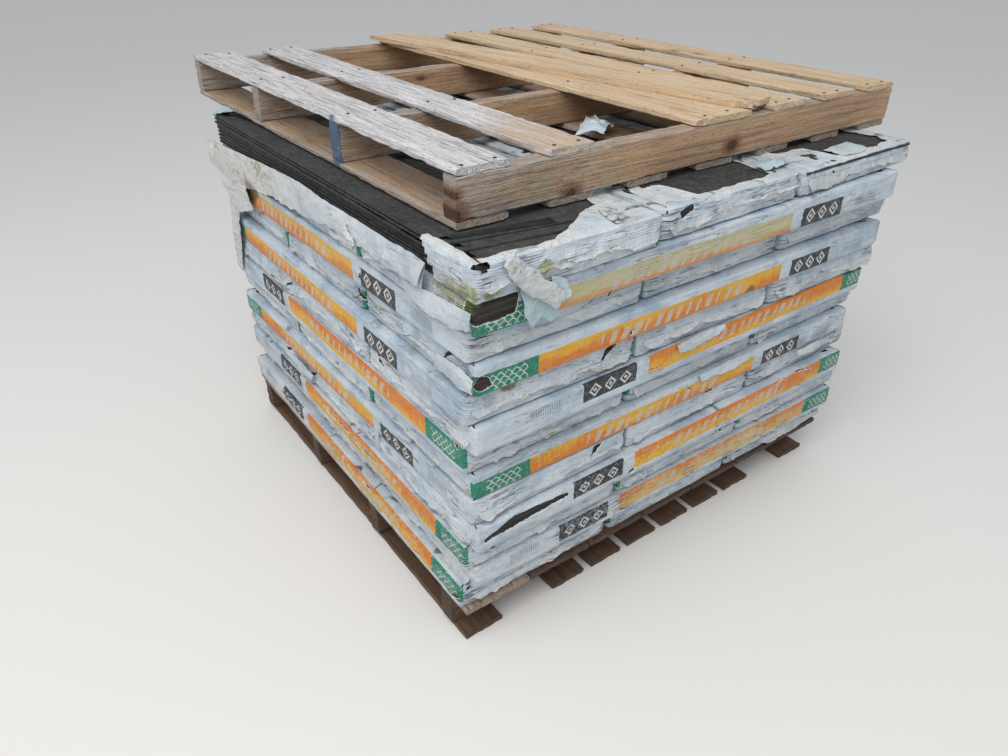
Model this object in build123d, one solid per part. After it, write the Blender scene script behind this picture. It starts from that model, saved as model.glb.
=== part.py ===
from build123d import *
from math import cos, pi
import os

# A pallet load of film-wrapped asphalt shingle bundles with an empty pallet lying on top.
# Millimetres, +Z up, floor at z = 0. X runs along one side of the load and Y along the other.
# Places are measured from under the middle of the bottom pallet. At the end everything moves
# along X, so that the part's origin lies under one of that pallet's bottom boards.

# Bottom pallet
BASE_X = 1067.0                 # along the stringers
BASE_Y = 1057.0                 # length of a top deck board
BASE_STRINGER_W = 38.0
BASE_STRINGER_H = 76.0
BASE_BOARD_T = 12.0
BASE_STRINGER_Y = (-452.0, -145.0, 165.0, 487.0)
BASE_TOP_BOARDS = 7
BASE_TOP_GAP = 4.0
BASE_FOOT_X = (-483.0, -267.5, -160.5, -53.5, 53.5, 160.5, 267.5, 483.0)
BASE_FOOT_W = 88.0
BASE_FOOT_OVER = 41.0           # a foot board runs past the near outer stringer
BASE_FOOT_SIDE = 0.5            # and stops just inside the face of the far one
ORIGIN_FOOT = 4                 # the bottom board that the origin lies under, counted from 0

# One bundle in its film
BUNDLE_L = 1067.0
BUNDLE_W = 359.0
BUNDLE_GAP = 7.0                # between neighbours in a layer
BUNDLES_PER_LAYER = 3
EDGE_R = 9.0                    # the film rounds the long edges
GATHER_L = 20.0                 # the film draws in over this length at an end
GATHER_SIDE = 12.0
GATHER_TOP = 6.0

# Layers from the bottom up: x, y, turn in degrees, thickness.
# Odd layers lie along Y, even layers along X.
LAYERS = (
    (9.0, 7.0, -0.3, 54.0),
    (16.0, 4.0, -0.7, 53.0),
    (13.0, -5.0, -0.1, 52.5),
    (5.0, -7.0, 0.0, 54.5),
    (18.0, -4.0, 0.8, 53.5),
    (11.0, 8.0, -0.1, 52.0),
    (16.0, 3.0, 0.4, 54.0),
    (2.0, -8.0, 0.3, 54.5),
    (14.0, -19.0, -0.1, 56.5),
    (11.0, -14.0, -0.4, 55.5),
    (19.0, -15.0, 0.3, 55.0),
    (4.0, -27.0, -0.4, 57.5),
)
CROWN_X, CROWN_Y, CROWN_TURN = 16.0, -35.0, 0.7
CROWN_MEAN_T = 57.0             # thickness of the top layer at its centre
CROWN_FALL = 0.8                # degrees: the top layer thins towards +X
CROWN_RISE = 0.5                # degrees: and thickens towards +Y
CROWN_BLANK_T = 90.0            # bundle thickness before its foot is trimmed level

# The opened bundle: laminated shingles stacked head to butt, with uneven edges
SHINGLE_L = 1063.0
SHINGLE_W = 352.0
SHINGLE_T = 3.9
SHINGLE_COUNT = 20
SHINGLE_STEP = 5.0              # a thin head edge sits back from the thick butt edge
SLIPPED = 6                     # shingles at the top that have slid together
SLIP_X, SLIP_Y = -5.0, -12.0

# The film torn off the opened bundle, hanging over the layer below
SKIRT_T = 2.0
SKIRT_Y = (-420.0, -330.0, -184.0, -30.0, 117.0, 192.0, 320.0, 435.0, 505.0)
SKIRT_DROP = (19.0, 24.0, 15.0, 31.0, 38.0, 46.0, 54.0, 56.0, 24.0)

# Top pallet, measured from its near lower corner
TOP_X0, TOP_Y0 = -481.0, -462.0
TOP_TURN = 1.0
TOP_STRINGER_L = 1143.0
TOP_BOARD_L = 1143.0
TOP_STRINGER_W = 35.0
TOP_STRINGER_H = 68.0
TOP_BOARD_T = 11.5
TOP_STRINGERS = 4
TOP_DECK_W = (100.0, 94.0, 97.0, 150.0, 104.0, 94.0, 99.0)
TOP_DECK_NUDGE = (0.0, 4.5, 9.0, 11.5, 11.0, 3.5, 0.0)   # how far each board was nailed off an even spacing
TOP_DECK_EMPTY = 2              # the place whose board has come loose
TOP_FEET = 7
TOP_FOOT_W = 97.0
LOOSE_W = 97.0
LOOSE_X, LOOSE_Y, LOOSE_TURN = 646.0, 2.0, 8.6
LOOSE_SPLIT_X = 34.0            # where the split in the loose board's end opens
LOOSE_SPLIT_L = 62.0
LOOSE_SPLIT_W = 11.0
LOOSE_TAPER = 30.0

EASE = 1.5                      # sawn edges


def floor_of_layer(index):
    """Height of the underside of a layer, counted from 0 at the bottom."""
    base = BASE_STRINGER_H + 2 * BASE_BOARD_T
    return base + sum(layer[3] for layer in LAYERS[:index])


CROWN_FLOOR = floor_of_layer(len(LAYERS))
CROWN_PLANE = Location((CROWN_X, CROWN_Y, CROWN_FLOOR + CROWN_MEAN_T), (CROWN_RISE, CROWN_FALL, 0))


def plank(length, width, thick):
    """A sawn board along X with its long edges eased, standing on z = 0."""
    body = Box(length, width, thick, align=(Align.CENTER, Align.CENTER, Align.MIN))
    return chamfer(body.edges().filter_by(Axis.X), EASE)


def plank_y(length, width, thick):
    return plank(length, width, thick).rotate(Axis.Z, 90)


def film_section(x, width, height, radius):
    """A box of film with each corner turned in two flats, so a layer stays light."""
    near, far = radius * (1 - cos(pi / 4)), radius
    corners = []
    for side_y, side_z in ((1, 1), (-1, 1), (-1, -1), (1, -1)):
        y, z = width / 2, height / 2
        arc = [(y, z - far), (y - near, z - near), (y - far, z)]
        if side_y * side_z < 0:
            arc.reverse()
        corners += [(side_y * a, side_z * b) for a, b in arc]
    return Plane.YZ.offset(x) * make_face(Polyline(corners, close=True))


def wrapped_bundle(height):
    """One bundle along X, rounded along its edges and drawn in at both ends."""
    half = BUNDLE_L / 2
    tip = (BUNDLE_W - 2 * GATHER_SIDE, height - 2 * GATHER_TOP, EDGE_R)
    full = (BUNDLE_W, height, EDGE_R)
    sections = [
        film_section(-half, *tip),
        film_section(-half + GATHER_L, *full),
        film_section(half - GATHER_L, *full),
        film_section(half, *tip),
    ]
    return loft(sections, ruled=True).translate((0, 0, height / 2))


def row_offsets():
    pitch = BUNDLE_W + BUNDLE_GAP
    middle = (BUNDLES_PER_LAYER - 1) / 2
    return [(n - middle) * pitch for n in range(BUNDLES_PER_LAYER)]


def layer_of_bundles(index):
    x, y, turn, thick = LAYERS[index]
    along_y = index % 2 == 0
    seat = Location((x, y, floor_of_layer(index)), (0, 0, turn + (90 if along_y else 0)))
    one = wrapped_bundle(thick)
    return [seat * Pos(0, -off, 0) * one for off in row_offsets()]


def trim_foot(solid):
    """Cut a top-layer solid level where it rests on the layer below."""
    return split(solid, bisect_by=Plane((0, 0, CROWN_FLOOR)), keep=Keep.TOP)


def crown_seat(offset):
    return CROWN_PLANE * Rot(0, 0, CROWN_TURN) * Pos(offset, 0, 0) * Rot(0, 0, 90)


def crown_bundles():
    """The two closed bundles of the top layer, their upper faces in the sloping plane."""
    blank = wrapped_bundle(CROWN_BLANK_T).translate((0, 0, -CROWN_BLANK_T))
    return [trim_foot(crown_seat(off) * blank) for off in row_offsets()[1:]]


def shingle(index):
    """One laminated shingle: alternate ones lie the other way, so their edges step."""
    step = SHINGLE_STEP if index % 2 else 0.0
    slab = Box(SHINGLE_L - step, SHINGLE_W - 2 * step, SHINGLE_T, align=(Align.CENTER, Align.CENTER, Align.MAX))
    slip = (SLIP_X, SLIP_Y) if index < SLIPPED else (0.0, 0.0)
    # the seat turns the stack by a quarter, so its own axes are swapped here
    return Pos(slip[1], -slip[0], -index * SHINGLE_T) * slab


def open_bundle():
    """The bundle whose film is torn away: a stack of bare shingles with stepped edges."""
    stack = shingle(0)
    for index in range(1, SHINGLE_COUNT):
        stack += shingle(index)
    return trim_foot(crown_seat(row_offsets()[0]) * stack)


def torn_wrap():
    """The torn film, a thin sheet with a ragged lower edge, flat on the ends of the layer below."""
    x, y, turn, thick = LAYERS[-1]
    lower = [(along, thick - drop) for along, drop in zip(SKIRT_Y, SKIRT_DROP)]
    outline = Polyline([(SKIRT_Y[0], thick), *lower, (SKIRT_Y[-1], thick)], close=True)
    face = Plane.YZ.offset(-BUNDLE_L / 2) * make_face(outline)
    seat = Location((x, y, CROWN_FLOOR - thick), (0, 0, turn))
    return seat * extrude(face, amount=-SKIRT_T)


def base_stringers():
    bar = plank(BASE_X, BASE_STRINGER_W, BASE_STRINGER_H)
    return [Pos(0, y, BASE_BOARD_T) * bar for y in BASE_STRINGER_Y]


def base_feet():
    near = BASE_STRINGER_Y[0] - BASE_STRINGER_W / 2 - BASE_FOOT_OVER
    far = BASE_STRINGER_Y[-1] + BASE_STRINGER_W / 2 - BASE_FOOT_SIDE
    foot = plank_y(far - near, BASE_FOOT_W, BASE_BOARD_T)
    return [Pos(x, (near + far) / 2, 0) * foot for x in BASE_FOOT_X]


def base_deck():
    width = (BASE_X - (BASE_TOP_BOARDS - 1) * BASE_TOP_GAP) / BASE_TOP_BOARDS
    board = plank_y(BASE_Y, width, BASE_BOARD_T)
    first = -BASE_X / 2 + width / 2
    height = BASE_BOARD_T + BASE_STRINGER_H
    return [Pos(first + n * (width + BASE_TOP_GAP), 0, height) * board for n in range(BASE_TOP_BOARDS)]


def top_frame():
    """The near lower corner of the top pallet, lying in the sloping plane."""
    return CROWN_PLANE * Pos(TOP_X0 - CROWN_X, TOP_Y0 - CROWN_Y, 0) * Rot(0, 0, TOP_TURN)


def top_feet():
    pitch = (TOP_STRINGER_L - TOP_FOOT_W) / (TOP_FEET - 1)
    foot = plank_y(TOP_BOARD_L, TOP_FOOT_W, TOP_BOARD_T)
    return [Pos(TOP_FOOT_W / 2 + n * pitch, TOP_BOARD_L / 2, 0) * foot for n in range(TOP_FEET)]


def top_stringers():
    pitch = (TOP_BOARD_L - TOP_STRINGER_W) / (TOP_STRINGERS - 1)
    bar = plank(TOP_STRINGER_L, TOP_STRINGER_W, TOP_STRINGER_H)
    first = Pos(TOP_STRINGER_L / 2, TOP_STRINGER_W / 2, TOP_BOARD_T)
    return [first * Pos(0, n * pitch, 0) * bar for n in range(TOP_STRINGERS)]


def top_deck():
    height = TOP_BOARD_T + TOP_STRINGER_H
    gap = (TOP_STRINGER_L - sum(TOP_DECK_W)) / (len(TOP_DECK_W) - 1)
    boards, x = [], 0.0
    for place, (width, nudge) in enumerate(zip(TOP_DECK_W, TOP_DECK_NUDGE)):
        if place != TOP_DECK_EMPTY:
            board = plank_y(TOP_BOARD_L, width, TOP_BOARD_T)
            boards.append(Pos(x + nudge + width / 2, TOP_BOARD_L / 2, height) * board)
        x += width + gap
    return boards


def loose_board():
    """The deck board that came off: one end split along the grain, one corner broken away."""
    w, length = LOOSE_W, TOP_BOARD_L
    outline = Polyline([
        (0, LOOSE_TAPER), (LOOSE_SPLIT_X - LOOSE_SPLIT_W, 4), (LOOSE_SPLIT_X, LOOSE_SPLIT_L),
        (LOOSE_SPLIT_X + LOOSE_SPLIT_W / 2, 0), (w, 9), (w, length - 26), (w - 22, length - 5),
        (w - 40, length - 18), (0, length)], close=True)
    body = extrude(make_face(outline), amount=TOP_BOARD_T)
    height = 2 * TOP_BOARD_T + TOP_STRINGER_H
    return Pos(LOOSE_X, LOOSE_Y, height) * Rot(0, 0, LOOSE_TURN) * body


def number_names(stem, solids):
    return {f"{stem}_{n}": solid for n, solid in enumerate(solids, 1)}


def all_nodes():
    nodes = {}
    nodes.update(number_names("base_pallet_stringer", base_stringers()))
    nodes.update(number_names("base_pallet_bottom_board", base_feet()))
    nodes.update(number_names("base_pallet_deck_board", base_deck()))
    for index in range(len(LAYERS)):
        nodes[f"bundle_layer_{index + 1:02d}"] = Compound(children=layer_of_bundles(index))
    nodes[f"bundle_layer_{len(LAYERS) + 1:02d}"] = Compound(children=crown_bundles())
    nodes["opened_bundle_shingles"] = open_bundle()
    nodes["torn_wrap"] = torn_wrap()
    frame = top_frame()
    upper = {}
    upper.update(number_names("top_pallet_bottom_board", top_feet()))
    upper.update(number_names("top_pallet_stringer", top_stringers()))
    upper.update(number_names("top_pallet_deck_board", top_deck()))
    upper["top_pallet_loose_board"] = loose_board()
    nodes.update({name: frame * solid for name, solid in upper.items()})
    return nodes


os.makedirs("parts", exist_ok=True)
for name, solid in all_nodes().items():
    shape = Pos(-BASE_FOOT_X[ORIGIN_FOOT], 0, 0) * solid
    shape.label = name
    export_step(shape, f"parts/{name}.step")
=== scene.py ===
"""Looks for a pallet load of film-wrapped shingle bundles with an empty pallet lying on top.

Lengths are in millimetres in the shape functions and turned into metres when a mesh is made.
"""
import math

import bmesh
import bpy
import numpy as np
from mathutils import Matrix, Vector


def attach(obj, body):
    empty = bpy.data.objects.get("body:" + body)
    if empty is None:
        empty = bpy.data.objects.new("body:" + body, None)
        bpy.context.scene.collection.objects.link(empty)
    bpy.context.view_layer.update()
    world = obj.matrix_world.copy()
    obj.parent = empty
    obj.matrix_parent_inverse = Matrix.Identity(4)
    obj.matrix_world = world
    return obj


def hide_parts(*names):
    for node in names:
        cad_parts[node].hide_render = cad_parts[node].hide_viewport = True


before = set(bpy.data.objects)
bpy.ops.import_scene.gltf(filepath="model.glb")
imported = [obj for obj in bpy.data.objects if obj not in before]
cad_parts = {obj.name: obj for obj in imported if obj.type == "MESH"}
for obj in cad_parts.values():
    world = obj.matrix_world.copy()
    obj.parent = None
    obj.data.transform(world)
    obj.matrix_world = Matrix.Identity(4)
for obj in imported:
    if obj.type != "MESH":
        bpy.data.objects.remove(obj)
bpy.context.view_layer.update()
MM = 0.001
FAR = 99.0                       # a distance that stands for "no tear near here"

# Layers from the bottom up, as in the node names bundle_layer_01 to bundle_layer_13
LAYER_COUNT = 13
CROWN = LAYER_COUNT
# Layers whose print is the other way up, and how faded and how creased each layer's film is
INVERTED = {1, 2, 3, 4, 7, 8}
FADE = {12: 1.0, 11: 0.12, 13: 0.6, 2: 0.35}
CREASED = {1: 1.0, 2: 1.0, 3: 0.8, 4: 0.6, 5: 0.45, 6: 0.35, 13: 0.8, 12: 0.3}
# Where the print starts along each layer's long side
PRINT_START = {12: 0.0, 11: -24.0, 10: 10.0, 9: -24.0, 8: -36.0, 7: 8.0, 6: 9.0, 5: -6.0, 4: -28.0,
               3: -12.0, 2: -6.0, 1: -8.0}

# Film wrapper
CORNER_R = 17.0
SIDE_ROUND = 4.5
END_ROUND = 8.0
END_SINK = 6.5                   # the end's upper and lower edges sit back from its seam
STEP_LONG, STEP_END, STEP_HIDDEN = 6.5, 4.4, 44.0
PLAIN_CAP = (22.0,)              # how far the film runs in over the top, as insets of its rows
OPEN_CAP = (5.0, 10.0, 16.0, 23.0, 31.0, 40.0, 50.0, 61.0, 74.0, 90.0)
FIN_ROWS = 6
SEAM_ROWS = slice(7, 10)         # the rows of the film next to its seam
FILM_THICK = 0.6
ROLL_STEPS, ROLL_TURNS = 40, 30  # along a roll of film and round it
CORNER_STEPS = 5
UNPRINTED = -999.0               # a place along the print that lies outside it

# Print, measured along the long side from its start and up from the bundle's foot
GREEN_START, GREEN_END = -34.0, 119.0
BAND_END = 715.0
MOTIF_START, MOTIF_END = 250.0, 610.0
PANEL_START, PANEL_END = 746.0, 871.0
HATCH_START, HATCH_END = 920.0, 985.0
BAND_LOW, BAND_HIGH = -3.0, 38.0
MARK_MIDDLE = 20.0               # height of the middle of the diamonds
TAB_PITCH, TAB_LEAN = 26.0, 0.42
SCALE_PITCH, SCALE_ROW, SCALE_R = 15.0, 8.0, 6.6
DIAMOND_PITCH = 36.0
HATCH_PITCH = 5.0
HOLE_PITCH_U, HOLE_PITCH_V = 27.0, 21.5

# The opened bundle's stack
SHINGLE_COUNT = 17
SHINGLE_PITCH = 3.9
# Rows of points down a shingle's edge: how far inside its outline, and the share of its thickness
SLAB_ROWS = ((26.0, 1.0), (0.5, 0.98), (0.0, 0.60), (0.4, 0.04), (26.0, 0.0))
SHINGLE_HALF_L, SHINGLE_HALF_W = 527.0, 173.5
# How far the near edge of the top ones is drawn back, at its left and right
SHINGLE_SETBACK = ((92.0, 40.0), (66.0, 22.0), (34.0, 8.0))

# Slits in the film: (layer, face): (thin end, thick end, width, bend), each end as the place along
# the face and the height above the layer's foot
SLITS = {
    (13, "right"): [
        ((176, 28), (171, 48), 5, 0.1), ((286, 10), (302, 18), 6, 0.0), ((240, 30), (228, 36), 5, 0.0)],
    (11, "right"): [
        ((-312, 24), (-266, 42), 7, 0.2), ((-184, 40), (-166, 49), 13, 0.1), ((318, 9), (372, 3), 4, 0.0)],
    (10, "right"): [((-247, 3), (-250, 16), 7, 0.0)],
    (9, "right"): [
        ((-309, 2), (-266, 46), 10, 0.25), ((-200, 5), (-153, 30), 5, -0.3),
        ((455, 11), (515, 44), 5, -0.2)],
    (8, "right"): [((-203, 26), (-164, 20), 3, 0.0)],
    (7, "right"): [
        ((-236, 10), (-186, 46), 5, -0.25), ((-263, 50), (-254, 34), 7, 0.0),
        ((-567, 46), (-516, 45), 5, 0.1), ((-568, 9), (-544, 16), 4, 0.0)],
    (6, "right"): [
        ((-68, 38), (-40, 22), 4, 0.0), ((-14, 20), (2, 15), 4, 0.0), ((380, 44), (432, 40), 4, 0.1)],
    (5, "right"): [
        ((-318, 8), (-270, 46), 10, 0.25), ((-60, 46), (-40, 44), 4, 0.0), ((-20, 46), (40, 41), 4, 0.0)],
    (4, "right"): [((226, 44), (363, 40), 5, 0.12), ((-226, 3), (-192, 12), 7, 0.1)],
    (3, "right"): [
        ((-545, 12), (-517, 29), 5, 0.1), ((-178, 12), (-157, 26), 5, 0.1), ((70, 20), (100, 40), 5, 0.1)],
    (1, "right"): [((-582, 35), (-554, 49), 5, 0.1)],
    (12, "left"): [((150, 8), (124, 34), 8, 0.1)],
    (11, "left"): [((134, 5), (143, -8), 5, 0.0), ((-186, 10), (-206, 40), 6, 0.2)],
    (10, "left"): [
        ((-472, 12), (-538, 50), 16, -0.35), ((-182, 58), (-208, 20), 9, 0.3),
        ((-250, 40), (-268, 15), 5, 0.0)],
    (8, "left"): [
        ((-231, 42), (-266, 30), 7, 0.0), ((452, 4), (164, 30), 9, 0.03), ((-190, 46), (-258, 44), 4, 0.0)],
    (7, "left"): [((-492, 54), (-510, 48), 7, 0.0)],
    (6, "left"): [((-209, 58), (-219, 28), 7, 0.1), ((380, 40), (330, 18), 6, 0.2)],
    (4, "left"): [
        ((292, 30), (250, 42), 7, 0.0), ((196, 16), (112, 41), 8, 0.1), ((-90, 44), (-160, 30), 5, 0.2)],
    (3, "left"): [((110, 36), (-60, 33), 5, 0.03), ((-60, 36), (-199, 30), 6, 0.04)],
    (2, "left"): [
        ((420, 34), (360, 20), 6, 0.2), ((60, 40), (10, 20), 6, 0.2), ((-300, 36), (-340, 16), 6, 0.2)],
    (1, "left"): [
        ((395, 24), (283, 40), 7, 0.05), ((-100, 46), (-195, 42), 6, 0.0),
        ((-448, 10), (-516, 29), 6, 0.1)],
}
# Larger holes, as outlines on a face
HOLES = {
    (13, "right"): [[(-180, 44), (-150, 55), (-146, 46), (-165, 36), (-176, 30)]],
    (12, "right"): [[(-598, 74), (-575, 71), (-540, 73), (-508, 69), (-500, 56), (-502, 22), (-536, 19),
                     (-575, 20), (-598, 24)]],
    (10, "right"): [[(-574, 16), (-560, 36), (-545, 30), (-538, 14), (-556, 8)]],
    (4, "right"): [[(-558, 18), (-504, 22), (-369, 32), (-372, 40), (-494, 48), (-524, 38), (-558, 26)]],
}
# Moss and brown stains on a face: place along it, height above the foot, reach
MOSSY = {
    (12, "right"): [(-570, 62, 50), (-520, 66, 40), (-600, 30, 24)],
    (12, "left"): [(-560, 50, 50), (-500, 58, 60)],
    (13, "right"): [(-500, 6, 34), (-470, 30, 30), (-560, 10, 30)],
    (13, "left"): [(-560, 14, 40), (-520, 6, 40)],
}
STAINED = {
    (11, "left"): [(335, 30, 60), (300, 44, 40), (360, 12, 30)],
    (12, "left"): [(200, 20, 60), (120, 12, 40), (320, 30, 60)],
    (2, "left"): [(-120, 10, 40)],
    (9, "right"): [(-500, 52, 30)],
    (10, "right"): [(60, 4, 26)],
}
# Width of the torn film left on top of the three top bundles along their near ends: (x, width)
NEAR_RIM = (
    ((-587, 3), (-570, 12), (-510, 11), (-466, 4), (-436, 6), (-392, 28), (-358, 48), (-310, 80),
     (-222, 90)),
    ((-222, 90), (-130, 90), (-112, 16), (60, 12), (104, 17), (118, 60), (150, 60)),
    ((140, 40), (170, 90), (282, 90), (298, 12), (520, 9)),
)
SIDE_RIM = 46.0

# Torn film on the left face: Y and Z along its upper and lower edges, its X and how creased it is
SKIRT_X = -593.0
SKIRT_TOP = [(565, 748), (420, 756), (275, 766), (130, 775), (-2, 781), (-149, 777), (-344, 779),
             (-427, 782), (-466, 779)]
SKIRT_LOW = [(560, 690), (435, 679), (320, 690), (192, 704), (117, 714), (-30, 721), (-184, 737),
             (-330, 729), (-452, 735)]
LEFT_FLAPS = (
    ("fold", [(-348, 765), (-412, 774), (-474, 784)],
     [(-338, 733), (-392, 738), (-450, 738)], -597.0, 0.25),
    ("far", [(506, 704), (430, 700), (330, 692)], [(486, 640), (400, 606), (300, 640)], -592.0, 0.65),
    ("hook", [(-466, 628), (-530, 632), (-566, 626)],
     [(-462, 603), (-526, 597), (-566, 602)], -584.0, 0.25),
    ("rag", [(232, 303), (170, 302), (104, 300)], [(226, 286), (160, 276), (112, 284)], -586.0, 0.25),
    ("corner", [(-385, 724), (-470, 733), (-530, 739), (-576, 741)],
     [(-400, 702), (-470, 696), (-530, 702), (-576, 716)], -590.0, 0.25),
    ("tail", [(446, 694), (412, 693), (378, 688)], [(516, 440), (494, 428), (474, 438)], -592.0, 0.65),
)
# Torn film on the near face: X and Z along its edges, how teal it is, and the face's Y
NEAR_FLAPS = (
    ("white", [(-128, 530), (-60, 536), (6, 532)], [(-120, 512), (-50, 516), (0, 520)], 0.0, -560.0),
    ("teal", [(-505, 756), (-470, 750), (-440, 734)],
     [(-498, 714), (-484, 692), (-466, 704), (-450, 690), (-432, 700)], 0.5, -582.0),
    ("blue", [(-452, 764), (-436, 760), (-424, 752)],
     [(-446, 728), (-430, 722), (-414, 728)], 0.35, -586.0),
    ("edge", [(-30, 421), (60, 424), (150, 420)], [(-24, 405), (70, 402), (148, 408)], 0.0, -543.0),
    ("low", [(300, 366), (360, 369), (420, 366)], [(306, 350), (364, 346), (418, 352)], 0.0, -546.0),
)
# Scraps that lie on the top bundles: X and Y along their edges, height, how teal, swell and crumple
SCRAPS = (
    ("crumpled", [(84, -500), (112, -497), (140, -500), (166, -506)],
     [(88, -524), (116, -530), (146, -526), (168, -518)], 4.0, 0.6, 5.0, 5.0),
    ("flat", [(300, -500), (345, -494), (392, -492)], [(296, -546), (340, -551), (384, -543)],
     3.0, 0.3, 2.0, 1.6),
    ("far", [(-587, 470), (-560, 500), (-520, 515)], [(-596, 440), (-548, 470), (-505, 480)],
     3.0, 0.9, 5.0, 3.0),
)
# The scrap that lies on the top pallet's bottom board
SCRAP_ON_BOARD = ([(-118, -232, 836), (-64, -190, 840), (-8, -150, 837)],
                  [(-84, -276, 837), (-30, -236, 842), (22, -200, 836)])
# Knots and moss that show on a board: its face's X and Z, and a size
KNOTS = {"top_pallet_stringer_1": ((78.5, 837.6, 13.0), (-314.4, 822.7, 13.0), (-536.0, 864.0, 9.0),
                                   (-536.0, 836.0, 13.0))}
MOSS_ON_WOOD = {"top_pallet_stringer_1": ((-407.8, 833.8, 34.0), (-376.8, 849.4, 26.0),
                                          (-229.4, 825.7, 30.0))}
BOARD_STEPS = (16.0, 8.0, 9.0)   # how finely a board is cut along, across and through it
# A nail head's rings: radius, and height over the board
NAIL_RINGS = ((3.3, -0.6), (3.5, 0.3), (2.6, 0.9), (1.0, 1.2))
NAIL_SIDES = 10

# Camera, solved from the photograph
CAMERA_AT = (-1.0856, -1.3486, 1.2126)
CAMERA_YAW, CAMERA_PITCH, CAMERA_ROLL = 35.6, 32.02, -0.34
CAMERA_FOCAL_PX, PHOTO_WIDTH_PX, SENSOR = 752.9, 1008, 36.0
FLOOR_REACH = 30.0               # metres


def hashed(i, j, k, seed):
    """A repeatable random number from -1 to 1 for each point of a lattice."""
    n = (i * 374761393 + j * 668265263 + k * 1274126177 + seed * 362437) & 0xFFFFFFFF
    n = ((n ^ (n >> 13)) * 1103515245) & 0xFFFFFFFF
    n = ((n ^ (n >> 16)) * 1597334677) & 0xFFFFFFFF
    return ((n ^ (n >> 15)) & 0xFFFFFF) / float(0xFFFFFF) * 2 - 1


def noise(x, y=0.0, z=0.0, seed=0):
    """Smooth random values from -1 to 1, on a lattice one unit wide."""
    x, y, z = np.broadcast_arrays(*(np.asarray(v, float) for v in (x, y, z)))
    cells = [np.floor(v).astype(np.int64) for v in (x, y, z)]
    parts = [v - c for v, c in zip((x, y, z), cells)]
    parts = [f * f * f * (f * (f * 6 - 15) + 10) for f in parts]
    total = np.zeros(x.shape)
    for corner in range(8):
        steps = [corner >> n & 1 for n in range(3)]
        weight = np.ones(x.shape)
        for f, step in zip(parts, steps):
            weight = weight * (f if step else 1 - f)
        total += weight * hashed(*(c + step for c, step in zip(cells, steps)), seed)
    return total


def layered(x, y=0.0, z=0.0, seed=0, octaves=3):
    """Noise with finer noise on it, still about -1 to 1."""
    total, size, reach = 0.0, 1.0, 0.0
    for n in range(octaves):
        k = 2.0 ** n
        total = total + size * noise(np.asarray(x) * k, np.asarray(y) * k, np.asarray(z) * k, seed + 17 * n)
        reach += size
        size *= 0.5
    return total / reach


def folds(x, y=0.0, z=0.0, seed=0):
    """Sharp ridges, 1 on the crest of a fold and 0 between folds."""
    return 1 - np.abs(layered(x, y, z, seed, 2)) * 2.2


def smooth(low, high, value):
    t = np.clip((np.asarray(value, float) - low) / (high - low), 0, 1)
    return t * t * (3 - 2 * t)


def outline_distance(x, y, outline):
    """Distance from each point to a closed outline, negative inside it."""
    x, y = np.asarray(x, float), np.asarray(y, float)
    nearest, inside = np.full(x.shape, 1e9), np.zeros(x.shape, bool)
    for (ax, ay), (bx, by) in zip(outline, outline[1:] + outline[:1]):
        dx, dy = bx - ax, by - ay
        t = np.clip(((x - ax) * dx + (y - ay) * dy) / (dx * dx + dy * dy + 1e-9), 0, 1)
        nearest = np.minimum(nearest, np.hypot(x - ax - t * dx, y - ay - t * dy))
        if dy:
            crosses = ((ay > y) != (by > y)) & (x < (y - ay) * dx / dy + ax)
            inside ^= crosses
    return np.where(inside, -nearest, nearest)


def make_mesh(name, points, faces, fields, material, sharp):
    """A mesh object from points in millimetres, with named fields for its material, riding on root."""
    mesh = bpy.data.meshes.new(name)
    mesh.from_pydata((np.asarray(points, float) * MM).tolist(), [], faces)
    for key, values in fields.items():
        values = np.asarray(values, np.float32)
        kind = "FLOAT_VECTOR" if values.ndim == 2 else "FLOAT"
        layer = mesh.attributes.new(key, kind, "POINT")
        layer.data.foreach_set("vector" if values.ndim == 2 else "value", values.ravel())
    mesh.validate()
    work = bmesh.new()
    work.from_mesh(mesh)
    bmesh.ops.delete(work, geom=[v for v in work.verts if not v.link_faces], context="VERTS")
    work.to_mesh(mesh)
    work.free()
    mesh.polygons.foreach_set("use_smooth", np.ones(len(mesh.polygons), bool))
    mesh.set_sharp_from_angle(angle=math.radians(sharp))
    mesh.materials.append(material)
    obj = bpy.data.objects.new(name, mesh)
    bpy.context.scene.collection.objects.link(obj)
    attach(obj, "root")
    return obj


def ring_faces(index):
    """Four-cornered faces between rows of points, where each row closes into a ring."""
    closed = np.c_[index, index[:, :1]].tolist()
    return [(a[j], a[j + 1], b[j + 1], b[j]) for a, b in zip(closed, closed[1:]) for j in range(len(a) - 1)]


# Materials

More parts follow.
